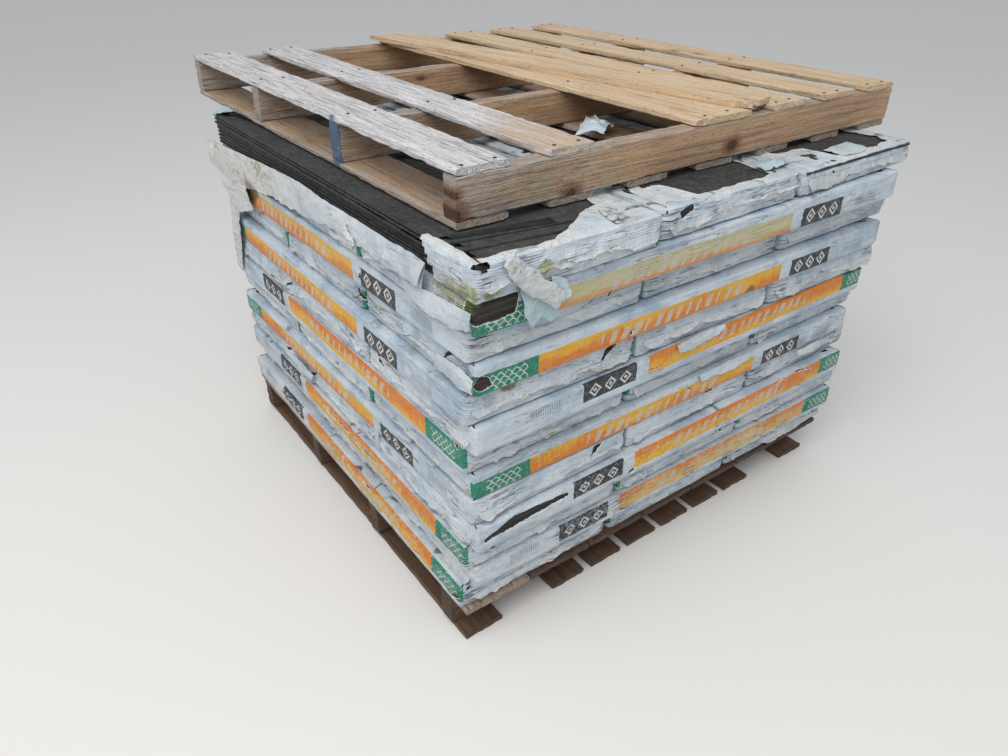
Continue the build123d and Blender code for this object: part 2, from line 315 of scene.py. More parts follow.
class Field:
    """A number that varies over a surface, made of shader nodes and combined by ordinary arithmetic."""

    def __init__(self, tree, socket):
        self.tree, self.socket = tree, socket

    def join(self, operation, *others):
        node = self.tree.nodes.new("ShaderNodeMath")
        node.operation = operation
        for index, value in enumerate((self, *others)):
            if isinstance(value, Field):
                self.tree.links.new(value.socket, node.inputs[index])
            else:
                node.inputs[index].default_value = value
        return Field(self.tree, node.outputs[0])

    def __add__(self, other):
        return self.join("ADD", other)

    def __sub__(self, other):
        return self.join("SUBTRACT", other)

    def __mul__(self, other):
        return self.join("MULTIPLY", other)

    def __truediv__(self, other):
        return self.join("DIVIDE", other)

    def __mod__(self, other):
        return self.join("FLOORED_MODULO", other)

    def flip(self):
        return (self * -1.0) + 1.0

    def size(self):
        return self.join("ABSOLUTE")

    def above(self, edge):
        return self.join("GREATER_THAN", edge)

    def below(self, edge):
        return self.join("LESS_THAN", edge)

    def between(self, low, high):
        return self.above(low) * self.below(high)

    def ramp(self, low, high):
        """0 below low and 1 above high, or the other way round where low is the larger."""
        node = self.tree.nodes.new("ShaderNodeMapRange")
        node.interpolation_type = "SMOOTHSTEP"
        self.tree.links.new(self.socket, node.inputs[0])
        rising = high > low
        node.inputs[1].default_value, node.inputs[2].default_value = (low, high) if rising else (high, low)
        node.inputs[3].default_value, node.inputs[4].default_value = (0, 1) if rising else (1, 0)
        return Field(self.tree, node.outputs[0])


class Surface:
    """One procedural material with its principled shader."""

    def __init__(self, name):
        self.material = bpy.data.materials.new(name)
        self.material.use_nodes = True
        self.tree = self.material.node_tree
        self.shader = self.tree.nodes["Principled BSDF"]
        self.place = self.tree.nodes.new("ShaderNodeTexCoord").outputs["Object"]
        self.colour = None

    def field(self, name):
        node = self.tree.nodes.new("ShaderNodeAttribute")
        node.attribute_name = name
        return Field(self.tree, node.outputs["Fac"])

    def vector(self, name):
        node = self.tree.nodes.new("ShaderNodeAttribute")
        node.attribute_name = name
        return node.outputs["Vector"]

    def parts(self, socket):
        node = self.tree.nodes.new("ShaderNodeSeparateXYZ")
        self.tree.links.new(socket, node.inputs[0])
        return [Field(self.tree, out) for out in node.outputs]

    def joined(self, *parts):
        node = self.tree.nodes.new("ShaderNodeCombineXYZ")
        for index, part in enumerate(parts):
            if isinstance(part, Field):
                self.tree.links.new(part.socket, node.inputs[index])
            else:
                node.inputs[index].default_value = part
        return node.outputs[0]

    def stretched(self, socket, factors):
        node = self.tree.nodes.new("ShaderNodeVectorMath")
        node.operation = "MULTIPLY"
        self.tree.links.new(socket, node.inputs[0])
        node.inputs[1].default_value = factors
        return node.outputs[0]

    def noise(self, scale, at=None, detail=3.0, rough=0.55, warp=0.0):
        node = self.tree.nodes.new("ShaderNodeTexNoise")
        node.inputs["Scale"].default_value = scale
        node.inputs["Detail"].default_value = detail
        node.inputs["Roughness"].default_value = rough
        node.inputs["Distortion"].default_value = warp
        self.tree.links.new(at or self.place, node.inputs["Vector"])
        return Field(self.tree, node.outputs["Fac"])

    def woven(self, places, factors, **given):
        """Noise over three fields, each stretched by its own factor."""
        return self.noise(1.0, at=self.joined(*(p * f for p, f in zip(places, factors))), **given)

    def cells(self, scale, at=None):
        """Distance to the nearest of scattered points, and each point's own random colour."""
        node = self.tree.nodes.new("ShaderNodeTexVoronoi")
        node.inputs["Scale"].default_value = scale
        self.tree.links.new(at or self.place, node.inputs["Vector"])
        return Field(self.tree, node.outputs["Distance"]), node.outputs["Color"]

    def random_per(self, *parts):
        """A random number from 0 to 1 for each whole-numbered place."""
        node = self.tree.nodes.new("ShaderNodeTexWhiteNoise")
        node.noise_dimensions = "3D"
        floors = [part.join("FLOOR") if isinstance(part, Field) else part for part in parts]
        self.tree.links.new(self.joined(*floors), node.inputs["Vector"])
        return Field(self.tree, node.outputs["Value"])

    def mix(self, share, under, over):
        """Colour under with over laid on it by share."""
        node = self.tree.nodes.new("ShaderNodeMix")
        node.data_type = "RGBA"
        if isinstance(share, Field):
            self.tree.links.new(share.socket, node.inputs[0])
        else:
            node.inputs[0].default_value = share
        for value, socket in ((under, node.inputs[6]), (over, node.inputs[7])):
            if isinstance(value, tuple):
                socket.default_value = (*value, 1.0)
            else:
                self.tree.links.new(value, socket)
        return node.outputs[2]

    def coat(self, share, over):
        """One more colour laid on what the surface has so far."""
        self.colour = self.mix(share, self.colour, over)

    def paint(self):
        self.tree.links.new(self.colour, self.shader.inputs["Base Color"])

    def gloss(self, roughness):
        self.tree.links.new(roughness.socket, self.shader.inputs["Roughness"])

    def relief(self, *heights):
        """Bumps one on another, each a field and its height in millimetres."""
        normal = None
        for height, depth in heights:
            node = self.tree.nodes.new("ShaderNodeBump")
            node.inputs["Strength"].default_value = 1.0
            node.inputs["Distance"].default_value = depth * MM
            self.tree.links.new(height.socket, node.inputs["Height"])
            if normal:
                self.tree.links.new(normal, node.inputs["Normal"])
            normal = node.outputs[0]
        self.tree.links.new(normal, self.shader.inputs["Normal"])


FILM_COOL = (0.31, 0.405, 0.50)
FILM_PALE = (0.52, 0.59, 0.655)
FILM_CREAM = (0.66, 0.635, 0.58)
FILM_DIRT = (0.27, 0.24, 0.19)
FILM_TEAL = (0.40, 0.60, 0.60)
FILM_LINE = (0.10, 0.105, 0.11)
INK_GREEN = (0.006, 0.185, 0.105)
INK_ORANGE = (0.60, 0.175, 0.008)
INK_YELLOW = (0.68, 0.36, 0.012)
INK_FADED = (0.46, 0.43, 0.25)
INK_FADED_LOW = (0.56, 0.24, 0.07)
INK_BLACK = (0.026, 0.025, 0.027)
INK_WHITE = (0.60, 0.61, 0.60)
INK_CREAM = (0.49, 0.44, 0.36)
MOSS = (0.14, 0.17, 0.03)
MOSS_DRY = (0.33, 0.33, 0.17)
STAIN = (0.15, 0.085, 0.035)
GRANULE_DARK = (0.016, 0.017, 0.018)
GRANULE_PALE = (0.075, 0.080, 0.084)
ASPHALT = (0.013, 0.013, 0.014)
GRANULES_PER_METRE = 900.0
EDGE_DARK, EDGE_BROWN = (0.024, 0.021, 0.018), (0.105, 0.085, 0.062)
# painted highlight along the torn rim of the film
TORN_RIM_HIGHLIGHT = (0.66, 0.67, 0.67)
NAIL_STEEL = (0.045, 0.03, 0.022)
BLUE_PAINT = (0.035, 0.105, 0.24)


def granules(s):
    """Colour and height of mineral granules on asphalt."""
    distance, tint = s.cells(GRANULES_PER_METRE)
    shade = s.parts(tint)[0]
    patch = s.noise(55.0, detail=4.0)
    colour = s.mix(shade.ramp(0.35, 1.0) * 0.75, GRANULE_DARK, GRANULE_PALE)
    colour = s.mix(patch.ramp(0.45, 0.75) * 0.5, colour, ASPHALT)
    return colour, distance.flip()


def slanted_tabs(s, u, v):
    """Slanted bars of uneven width, the pale marks in the orange band."""
    leaning = u - v * TAB_LEAN
    place = leaning % TAB_PITCH
    widest = s.random_per(leaning / TAB_PITCH, 0.0, 2.0) * 12.0 + 9.0
    return place.above(4.0) * place.below(widest) * v.between(7.0, 30.0) * u.between(MOTIF_START, MOTIF_END)


def scale_pattern(u, v):
    """Rows of arcs, each row half a pitch along, the pale marks in the green end."""
    row = (v / SCALE_ROW).join("FLOOR")
    du = ((u + (row % 2.0) * (SCALE_PITCH / 2)) % SCALE_PITCH) - SCALE_PITCH / 2
    dv = v - row * SCALE_ROW
    arc = ((du * du + dv * dv).join("SQRT") - SCALE_R).size().below(0.9)
    return arc * u.between(26.0, 98.0) * v.between(5.0, 33.0)


def diamond_row(u, v):
    """Three diamonds, each a ring with a dot in it, the pale marks in the black panel."""
    from_middle = u - (PANEL_START + PANEL_END) / 2
    along = ((from_middle + DIAMOND_PITCH * 1.5) % DIAMOND_PITCH) - DIAMOND_PITCH / 2
    away = along.size() + (v - MARK_MIDDLE).size()
    shape = away.below(14.5) - away.below(9.5) + away.below(4.5)
    return shape * from_middle.size().below(1.5 * DIAMOND_PITCH)


def print_ink(s, u, v, z, fade, cracks, ink):
    """The orange band, the green end and the black panel, each with its pale marks."""
    blend = s.woven((u, v, z), (0.0055, 0.016, 3.0), detail=4.0, rough=0.6)
    smear = s.woven((u, v, z), (0.17, 0.012, 5.0), detail=2.0)
    height = v / 40.0
    warm = (height + (blend - 0.5) * 2.4 + (smear - 0.5) * 0.9).ramp(0.15, 0.8)
    fresh = s.mix(warm, INK_ORANGE, INK_YELLOW)
    faded = s.mix((height + (blend - 0.5) * 0.8).ramp(0.05, 0.42), INK_FADED_LOW, INK_FADED)
    tabs = slanted_tabs(s, u, v) * cracks.ramp(0.28, 0.40)
    band = s.mix(tabs * 0.88, s.mix(fade, fresh, faded), INK_CREAM)
    s.coat(ink * u.between(GREEN_END, BAND_END), band)
    s.coat(ink * u.between(GREEN_START, GREEN_END), s.mix(scale_pattern(u, v) * 0.9, INK_GREEN, INK_WHITE))
    s.coat(ink * u.between(PANEL_START, PANEL_END), s.mix(diamond_row(u, v) * 0.9, INK_BLACK, INK_WHITE))


def shingle_edges(s, z, streaks):
    """Colour of the shingles' stacked edges behind a tear."""
    layer = (z / (SHINGLE_PITCH * MM)) + (s.noise(9.0, detail=2.0) * 3.0)
    groove = ((layer % 1.0) - 0.5).size().ramp(0.33, 0.45)
    edge = s.mix(s.random_per(layer, 0.0, 0.0) * streaks.ramp(0.3, 0.7), EDGE_DARK, EDGE_BROWN)
    return s.mix(groove, edge, (0.008, 0.008, 0.008))


def film_material():
    s = Surface("printed_film")
    u, v, on, crease, tear, fade, scuff, moss, stain, ridge, wall, teal = (
        s.field(name) for name in ("print_u", "print_v", "print_on", "crease", "tear", "fade", "scuff",
                                   "moss", "stain", "ridge", "wall", "teal"))
    z = s.parts(s.place)[2]
    soft = s.noise(9.0, detail=6.0, rough=0.7)
    fine = s.noise(140.0, detail=4.0, rough=0.65)
    streaks = s.noise(1.0, at=s.stretched(s.place, (9.0, 9.0, 150.0)), detail=4.0, rough=0.6)
    cracks = s.noise(38.0, detail=5.0, rough=0.7, warp=0.8)
    lines = s.noise(1.0, at=s.stretched(s.place, (6.0, 6.0, 80.0)), detail=2.0, rough=0.5, warp=0.35)

    # faded film, creamy where it is creased, with dirt and fine dark lines along its wrinkles
    s.colour = s.mix(soft.ramp(0.33, 0.60), FILM_COOL, FILM_PALE)
    s.coat(crease * 0.85, FILM_CREAM)
    s.coat(teal * 0.8, FILM_TEAL)
    s.coat(streaks.ramp(0.50, 0.78) * 0.34 + (crease + 0.35) * cracks.ramp(0.52, 0.66) * 0.30, FILM_DIRT)
    some = s.noise(14.0, detail=3.0).ramp(0.46, 0.60) * (ridge * 0.7 + scuff * 0.9 + 0.1)
    valley = (lines - 0.5).size()
    s.coat(valley.ramp(0.018, 0.006) * some * 1.1, FILM_LINE)

    # ragged edges of the ink, and ink rubbed off along creases
    ink_v = v + (fine - 0.5) * 1.8
    printed = on.above(0.5)
    kept = (cracks - 0.5).size().join("GREATER_THAN", (scuff * 0.014) + 0.001)
    rub = s.noise(60.0, detail=5.0, rough=0.75).join("LESS_THAN", (scuff * -0.13) + 0.76)
    ink = ink_v.between(BAND_LOW, BAND_HIGH) * printed * ((kept * rub) * 0.50 + 0.50)
    print_ink(s, u, v, z, fade, cracks, ink)
    bars = ((u % HATCH_PITCH) - HATCH_PITCH / 2).above(0.0) * v.between(9.0, 25.0) + v.between(29.0, 30.5)
    s.coat(bars * u.between(HATCH_START, HATCH_END) * printed * 0.55, (0.12, 0.13, 0.15))

    # rows of pin holes that let air out
    column, row = u / HOLE_PITCH_U, v / HOLE_PITCH_V
    hole_u = (u % HOLE_PITCH_U) - HOLE_PITCH_U / 2
    hole_v = ((v % HOLE_PITCH_V) - 10.7) + (s.random_per(column, row, 1.0) - 0.5) * 9.0
    holes = (hole_u * hole_u + hole_v * hole_v).below(0.9) * s.random_per(column, row, 4.0).above(0.45)
    s.coat(holes * 0.9, INK_BLACK)

    growth = s.noise(70.0, detail=5.0, rough=0.7)
    mossy = (moss + (growth - 0.5) * 1.5).ramp(0.45, 0.85)
    s.coat(mossy * 0.8, s.mix(growth.ramp(0.45, 0.62), MOSS_DRY, MOSS))
    s.coat((stain + (growth - 0.5) * 0.9).ramp(0.3, 0.8) * 0.85, STAIN)

    # a tear shows the shingles, with a painted highlight along its torn rim
    ragged = tear + (s.noise(190.0, detail=4.0) - 0.5) * 5.0
    bare = ragged.below(0.0)
    grit, grit_height = granules(s)
    inside = s.mix(wall, grit, shingle_edges(s, z, streaks))
    s.coat(ragged.between(0.0, 1.3) * 0.7, TORN_RIM_HIGHLIGHT)
    s.coat(bare, s.mix((moss * 0.75 + (growth - 0.5) * 1.4).ramp(0.45, 0.9), inside, MOSS))
    s.paint()
    s.gloss((bare * 0.35) + (fine * 0.20) + 0.42)

    step = ((z * (2 * math.pi / (SHINGLE_PITCH * MM))) + (s.noise(16.0, detail=2.0) * 5.0)).join("SINE")
    rumple = (s.noise(26.0, detail=4.0, rough=0.6, warp=0.9) - 0.5).size()
    rumple = rumple + (s.noise(75.0, detail=4.0, rough=0.65) - 0.5).size() * 0.5
    shallow = (crease * 0.8) + (scuff * 0.5) + 0.35
    s.relief((rumple * shallow, 8.5), (step * ridge, 0.55), (valley.ramp(0.0, 0.09) * some, 2.4),
             (fine * (crease + 0.3), 1.1), (grit_height * bare, 0.8))
    return s.material


def shingle_material():
    s = Surface("bare_shingles")
    grit, height = granules(s)
    edge, moss = s.field("edge"), s.field("moss")
    x, y, z = s.parts(s.place)
    growth = s.noise(60.0, detail=5.0, rough=0.7)
    fibres = s.noise(1.0, at=s.stretched(s.place, (60.0, 60.0, 900.0)), detail=4.0)
    tab = s.random_per(y * 7.1, x * 6.9, 2.0)
    blotch = s.noise(85.0, detail=5.0, rough=0.7)
    dust = s.noise(7.0, detail=5.0).ramp(0.45, 0.75)
    s.colour = s.mix(tab.above(0.5) * 0.20, grit, GRANULE_PALE)
    s.coat(edge * 0.8, s.mix(fibres.ramp(0.35, 0.75), (0.018, 0.018, 0.018), (0.095, 0.096, 0.092)))
    s.coat(blotch.ramp(0.48, 0.62) * 0.55, (0.082, 0.085, 0.080))
    s.coat(blotch.ramp(0.46, 0.36) * 0.6, (0.009, 0.009, 0.010))
    s.coat(dust * 0.30, (0.085, 0.085, 0.08))
    green = s.mix(growth.ramp(0.5, 0.68), (0.055, 0.06, 0.03), MOSS)
    s.coat((moss + (growth - 0.5) * 1.5).ramp(0.55, 0.95) * 0.85, green)
    s.paint()
    s.shader.inputs["Roughness"].default_value = 0.88
    s.relief((height, 0.9), (fibres, 1.2), (blotch, 2.5))
    return s.material


def wood_material(name, early, late, grey, grime, weather_low, weather_high, rough_saw=1.6):
    """Sawn softwood. Grain runs along the first part of the field called wood."""
    s = Surface(name)
    wood = s.parts(s.vector("wood"))
    along, across, depth = wood
    weather, grit, tint, moss, chosen = (
        s.field(key) for key in ("weather", "grime", "tint", "moss", "knot"))
    wander = s.woven(wood, (0.0028, 0.012, 0.012), detail=2.0)
    da, dd = across + (wander - 0.5) * 46.0, depth + 46.0
    rings = ((da * da + dd * dd).join("SQRT") * 0.72) + wander * 9.0
    ring = (rings.join("SINE") * 0.5) + 0.5
    pores = s.woven(wood, (0.010, 0.45, 0.45), detail=5.0, rough=0.75)
    grain = s.woven(wood, (0.0035, 0.12, 0.12), detail=4.0, rough=0.65)
    speck = s.woven(wood, (0.09, 0.40, 0.40), detail=4.0, rough=0.7)
    broad = s.woven(wood, (0.004, 0.03, 0.03), detail=3.0)
    patches = s.woven(wood, (0.011, 0.05, 0.05), detail=5.0, rough=0.65)
    checks = s.woven(wood, (0.006, 0.55, 0.55), detail=2.0)
    growth = s.noise(90.0, detail=5.0, rough=0.7)

    # rings and grain, and a few random knots
    lines = ring.ramp(0.35, 0.95) * 0.25 + pores.ramp(0.45, 0.62) * 0.35 + grain.ramp(0.45, 0.60) * 0.35
    s.colour = s.mix(lines, early, late)
    s.coat(broad.ramp(0.35, 0.75) * 0.35, late)
    knot, _ = s.cells(1.0, at=s.joined(along * 0.0042, across * 0.011, depth * 0.004))
    s.coat(knot.ramp(0.20, 0.07) * 0.40, (0.36, 0.17, 0.07))
    s.coat(knot.ramp(0.085, 0.035), (0.15, 0.055, 0.022))

    # silvery weathering, dirt and drying cracks
    aged = (weather + (patches - 0.5) * 0.9 + (pores - 0.5) * 0.5).ramp(weather_low, weather_high)
    s.coat(aged * 0.92, s.mix(pores.ramp(0.46, 0.66) * 0.8, grey, tuple(0.45 * c for c in grey)))
    s.coat(grain.ramp(0.53, 0.64) * 0.30 + speck.ramp(0.56, 0.64) * 0.60, grime)
    s.coat((grit + (patches - 0.5) * 0.9 + (pores - 0.5) * 0.6).ramp(0.35, 0.95) * 0.8, grime)
    split = (checks - 0.5).size().ramp(0.022, 0.006) * (aged + 0.25)
    s.coat(split * 0.7, (0.05, 0.04, 0.03))

    # knots, moss and paint in places of their own
    near_knot = chosen + (patches - 0.5) * 0.9 + (ring - 0.5) * 0.12
    s.coat(near_knot.ramp(2.1, 0.9) * 0.75, (0.20, 0.075, 0.035))
    s.coat(near_knot.ramp(0.95, 0.55) * 0.85, (0.045, 0.02, 0.012))
    s.coat((moss + (growth - 0.5) * 1.6).ramp(0.40, 0.9) * 0.6, MOSS_DRY)
    s.coat((tint + (speck - 0.5) * 1.1 + (patches - 0.5) * 0.9).ramp(0.35, 0.62) * 0.85, BLUE_PAINT)
    s.paint()
    s.gloss((pores * 0.2) + 0.65)
    saw = (across * 0.55 + along * 1.9 + s.noise(30.0, detail=2.0) * 6.0).join("SINE")
    s.relief((ring * 0.4 + pores + grain * 1.5, 1.3), (split * -1.0, 1.2), (saw, 0.16 * rough_saw),
             (speck, 0.9))
    return s.material


def nail_material():
    s = Surface("nail_steel")
    spots = s.noise(220.0, detail=4.0)
    s.colour = s.mix(spots.ramp(0.35, 0.7) * 0.3, NAIL_STEEL, tuple(0.45 * c for c in NAIL_STEEL))
    s.paint()
    s.shader.inputs["Roughness"].default_value = 0.7
    s.shader.inputs["Metallic"].default_value = 0.4
    return s.material


def make_materials():
    return {
        "film": film_material(),
        "shingle": shingle_material(),
        "tan": wood_material("tan_pallet_wood", (0.78, 0.60, 0.40), (0.56, 0.39, 0.23),
                             (0.60, 0.56, 0.52), (0.16, 0.12, 0.08), 0.45, 1.0),
        "brown": wood_material("brown_pallet_wood", (0.58, 0.385, 0.23), (0.37, 0.22, 0.12),
                               (0.50, 0.44, 0.39), (0.11, 0.085, 0.06), 0.35, 0.9),
        "grey": wood_material("grey_pallet_wood", (0.66, 0.52, 0.39), (0.48, 0.36, 0.26),
                              (0.80, 0.80, 0.83), (0.20, 0.17, 0.14), 0.05, 0.5, rough_saw=2.0),
        # the base pallet under the load: the brown wood's colours darkened to about a quarter, as painted
        # shade
        "brown_in_painted_shade": wood_material("brown_pallet_wood_in_painted_shade", (0.17, 0.095, 0.055), (0.085, 0.042, 0.022),
                              (0.16, 0.14, 0.12), (0.03, 0.022, 0.015), 0.5, 1.1),
        "nail": nail_material(),
    }


MATERIAL = make_materials()


# Reading the CAD solids

def node_points(node):
    """The points of a CAD node's mesh, in millimetres."""
    return np.array([v.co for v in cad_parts[node].data.vertices]) / MM


def node_corners(node):
    """The same points, each corner once."""
    return np.unique(node_points(node).round(2), axis=0)


def loose_solids(node):
    """The points of each separate solid of a CAD node, in millimetres."""
    corners, label = np.unique(node_points(node).round(2), axis=0, return_inverse=True)
    label = label.ravel()
    owner = np.arange(len(corners))

    def root(n):
        while owner[n] != n:
            owner[n] = owner[owner[n]]
            n = owner[n]
        return n

    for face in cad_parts[node].data.polygons:
        first = root(label[face.vertices[0]])
        for n in face.vertices[1:]:
            owner[root(label[n])] = first
    groups = {}
    for n in range(len(corners)):
        groups.setdefault(root(n), []).append(n)
    solids = [corners[ids] for ids in groups.values()]
    return sorted(solids, key=lambda p: (round(p[:, 0].mean() + p[:, 1].mean()), p[:, 0].mean()))


class Block:
    """Where one bundle is: its middle, its long direction, its size, its foot and its sloping top."""

    def __init__(self, points):
        flat = points[:, :2] - points[:, :2].mean(0)
        along = np.linalg.svd(flat, full_matrices=False)[2][0]
        along = along * (1 if along[np.abs(along).argmax()] > 0 else -1)
        across = np.array([-along[1], along[0]])
        reach = points[:, :2] @ np.array([along, across]).T
        low, high = reach.min(0), reach.max(0)
        self.along, self.across = along, across
        self.middle = along * (low + high)[0] / 2 + across * (low + high)[1] / 2
        self.length, self.width = high - low
        self.foot = points[:, 2].min()
        upper = points[points[:, 2] > self.foot + 0.6 * np.ptp(points[:, 2])]
        table = np.c_[upper[:, :2], np.ones(len(upper))]
        top = upper[:, 2] > 0
        for _ in range(4):
            self.plane = np.linalg.lstsq(table[top], upper[top, 2], rcond=None)[0]
            top = upper[:, 2] > table @ self.plane - 1.0
        self.along_y = abs(along[1]) > 0.7

    def beside(self, other):
        """The place next to this one on the side away from the other, with its size and sloping top."""
        copy = object.__new__(Block)
        copy.__dict__.update(self.__dict__)
        copy.middle = 2 * self.middle - other.middle
        return copy

    def spot(self, place):
        """The load's x and y for local points (along, across)."""
        return self.middle + place[..., :1] * self.along + place[..., 1:2] * self.across

    def top(self, xy):
        return xy[..., 0] * self.plane[0] + xy[..., 1] * self.plane[1] + self.plane[2]

    def height(self):
        return float(self.top(self.middle) - self.foot)

    def face_places(self, face):
        """Which side shows on a face of the load, where that side's left end is, and its sense."""
        half_long, half_wide = self.length / 2, self.width / 2
        reach = half_wide if self.along_y == (face == "right") else half_long
        if face == "right":
            return (3 if self.along_y else 0), self.middle[0] - reach, 1.0
        return (2 if self.along_y else 3), self.middle[1] + reach, -1.0


# Outward and forward directions of a bundle's four sides, as (along, across)
SIDES = (((0, -1), (1, 0)), ((1, 0), (0, 1)), ((0, 1), (-1, 0)), ((-1, 0), (0, -1)))


def plan_path(block, fine_sides):
    """Points round a bundle's plan, anticlockwise from its side facing -across.

    Gives local places, outward directions, distance run, and the whole way round.
    """
    half = np.array([block.length / 2, block.width / 2])
    inner = half - CORNER_R
    arc = CORNER_R * math.pi / 2
    places, outs, runs = [], [], []
    run = 0.0
    for side, (out, ahead) in enumerate(SIDES):
        out, ahead = np.array(out, float), np.array(ahead, float)
        long_side = side in (0, 2)
        straight = 2 * (inner[0] if long_side else inner[1])
        step = (STEP_LONG if side in fine_sides else STEP_HIDDEN) if long_side else STEP_END
        count = max(2, round(straight / step))
        start = out * (half[1] if long_side else half[0]) - ahead * straight / 2
        for n in range(count):
            places.append(start + ahead * straight * n / count)
            outs.append(out)
            runs.append(run + straight * n / count)
        pivot = out * ((half[1] if long_side else half[0]) - CORNER_R) + ahead * straight / 2
        for n in range(CORNER_STEPS):
            angle = math.pi / 2 * n / CORNER_STEPS
            way = out * math.cos(angle) + ahead * math.sin(angle)
            places.append(pivot + way * CORNER_R)
            outs.append(way)
            runs.append(run + straight + arc * n / CORNER_STEPS)
        run += straight + arc
    return np.array(places), np.array(outs), np.array(runs), run


def side_coordinate(block, runs, total, side):
    """Distance along one side from its left corner as seen from outside, also round the corner."""
    long_run, end_run = block.length - 2 * CORNER_R, block.width - 2 * CORNER_R
    arc = CORNER_R * math.pi / 2
    starts = [0.0, long_run + arc, long_run + end_run + 2 * arc, 2 * long_run + end_run + 3 * arc]
    length = long_run if side in (0, 2) else end_run
    middle = starts[side] + length / 2
    offset = (runs - middle + total / 2) % total - total / 2
    return offset + (block.length if side in (0, 2) else block.width) / 2


def curved_slit(thin, thick, width, bend):
    """The outline of a slit that opens towards one end and bends by a share of its length."""
    thin, thick = np.array(thin, float), np.array(thick, float)
    way = thick - thin
    side = np.array([-way[1], way[0]])
    unit = side / np.hypot(*side)
    steps = np.linspace(0, 1, 9)
    middle = [thin + way * t + side * bend * 4 * t * (1 - t) for t in steps]
    half = [width / 2 * math.sin(math.pi * min(t ** 1.6, 0.86)) ** 0.8 for t in steps]
    left = [tuple(m + unit * h) for m, h in zip(middle, half)]
    right = [tuple(m - unit * h) for m, h in zip(middle, half)]
    return left + right[:0:-1]


def film_fields(shape, **given):
    """Every field that the film's material reads, with its plain value where none is given."""
    plain = {"print_u": UNPRINTED, "print_v": 0.0, "print_on": 0.0, "crease": 0.0, "tear": FAR, "moss": 0.0,
             "stain": 0.0, "ridge": 0.0, "fade": 0.0, "scuff": 0.3, "wall": 1.0, "teal": 0.0}
    plain.update(given)
    return {key: (np.zeros(shape) + value).ravel() for key, value in plain.items()}


def wall_profile(radius, height, seam_z, cap):
    """The rows up a side: inwards distance, height, distance up the film and height above the seam."""
    turns = (0.0, math.pi / 4, math.pi / 2)
    rows = [(radius + PLAIN_CAP[0], 0 * radius, 0 * radius - PLAIN_CAP[0])]
    for angle in turns:
        deep, up = radius * (1 - math.sin(angle)), radius * (1 - math.cos(angle))
        rows.append((deep, up, up - deep * 0.6))
    for share in (0.25, 0.5, 0.72, 0.88, 1.0):
        up = radius + share * (seam_z - radius)
        rows.append((0 * radius, up, up))
    split = len(rows)
    for share in (0.03, 0.13, 0.28, 0.46, 0.65, 0.84):
        up = seam_z + share * (height - radius - seam_z)
        rows.append((0 * radius, up, up))
    for angle in turns[::-1]:
        deep, up = radius * (1 - math.sin(angle)), height - radius * (1 - math.cos(angle))
        rows.append((deep, up, up + deep * 0.6))
    for inset in cap:
        rows.append((radius + inset, 0 * radius + height, 0 * radius + height + inset))
    deep, up, run = (np.stack([row[n] + 0 * radius for row in rows], axis=1) for n in range(3))
    above = up - seam_z[:, None]
    above[:, :split] = np.minimum(above[:, :split], -2.0)
    return deep, up, run, above


def random_slits(block, seed, taken, height):
    """Slits for the sides that the photograph doesn't show, which are the ones not in taken.

    An end gets one larger slit and a long side three small ones.
    """
    draw = np.random.default_rng(seed)
    slits = []
    for side in (1, 3):
        left = draw.random() < 0.5
        at, low, reach = draw.uniform(22, 52), draw.uniform(4, 14), draw.uniform(24, 42)
        thin, thick = (at, low), (at + reach, low + reach * 0.8)
        if left:
            thin, thick = (block.width - at, low), (block.width - at - reach, low + reach * 0.8)
        slits.append((side, curved_slit(thin, thick, draw.uniform(5, 11), draw.uniform(-0.3, 0.3))))
    for side in (0, 2):
        for _ in range(3):
            at, low, reach = draw.uniform(60, block.length - 60), draw.uniform(6, 44), draw.uniform(8, 60)
            thick = (at + reach, min(low + draw.uniform(-8, 8), height - 4))
            slits.append((side, curved_slit((at, low), thick, draw.uniform(2, 5), 0.1)))
    return [(side, outline) for side, outline in slits if side not in taken]


def fin(block, places, outs, q, root_push, seam_z, seed):
    """The heat-sealed edge of the film at one end: a crumpled strip that hangs from the seam."""
    taper = smooth(2, 26, q) * smooth(2, 26, block.width - q)
    drop = 9 + 15 * layered(q / 80.0, seed, seed=seed, octaves=2)
    drop = drop + 6 * np.clip(folds(q / 45.0, seed, seed=seed + 1), 0, 1) ** 3
    drop = np.clip(drop, 2.0, 26.0) * taper + 0.8
    flare = np.clip(1.5 + 5.0 * layered(q / 34.0, seed * 1.7, seed=seed + 2), 0.3, 5.5) * taper
    s, t = np.linspace(0, 1, FIN_ROWS)[None, :], q[:, None]
    out = root_push[:, None] + 0.5 + flare[:, None] * s ** 1.3
    pleat = 1.3 * np.clip(folds(t / 38.0 + s * 0.8, s * 2.2, seed=seed + 3), 0, 1) ** 2
    pleat = pleat + 0.35 * noise(t / 7.0, s * 3, seed=seed + 4)
    out = np.maximum(out + pleat * s * taper[:, None], root_push[:, None] + 0.2)
    z = seam_z[:, None] + 1.2 - drop[:, None] * s
    z = z + 0.5 * noise(t / 16.0, s * 2, seed=seed + 5) * s
    skins = []
    for inner in (0.0, FILM_THICK):
        local = places[:, None, :] + outs[:, None, :] * (out - inner)[..., None]
        skins.append(np.concatenate([block.spot(local), (z + inner * 0.3)[..., None]], axis=2))
    grid = np.concatenate([skins[0], skins[1][:, ::-1]], axis=1)
    index = np.arange(grid.shape[0] * grid.shape[1]).reshape(grid.shape[:2])
    return grid, ring_faces(index) + [tuple(index[0]), tuple(index[-1, ::-1])]


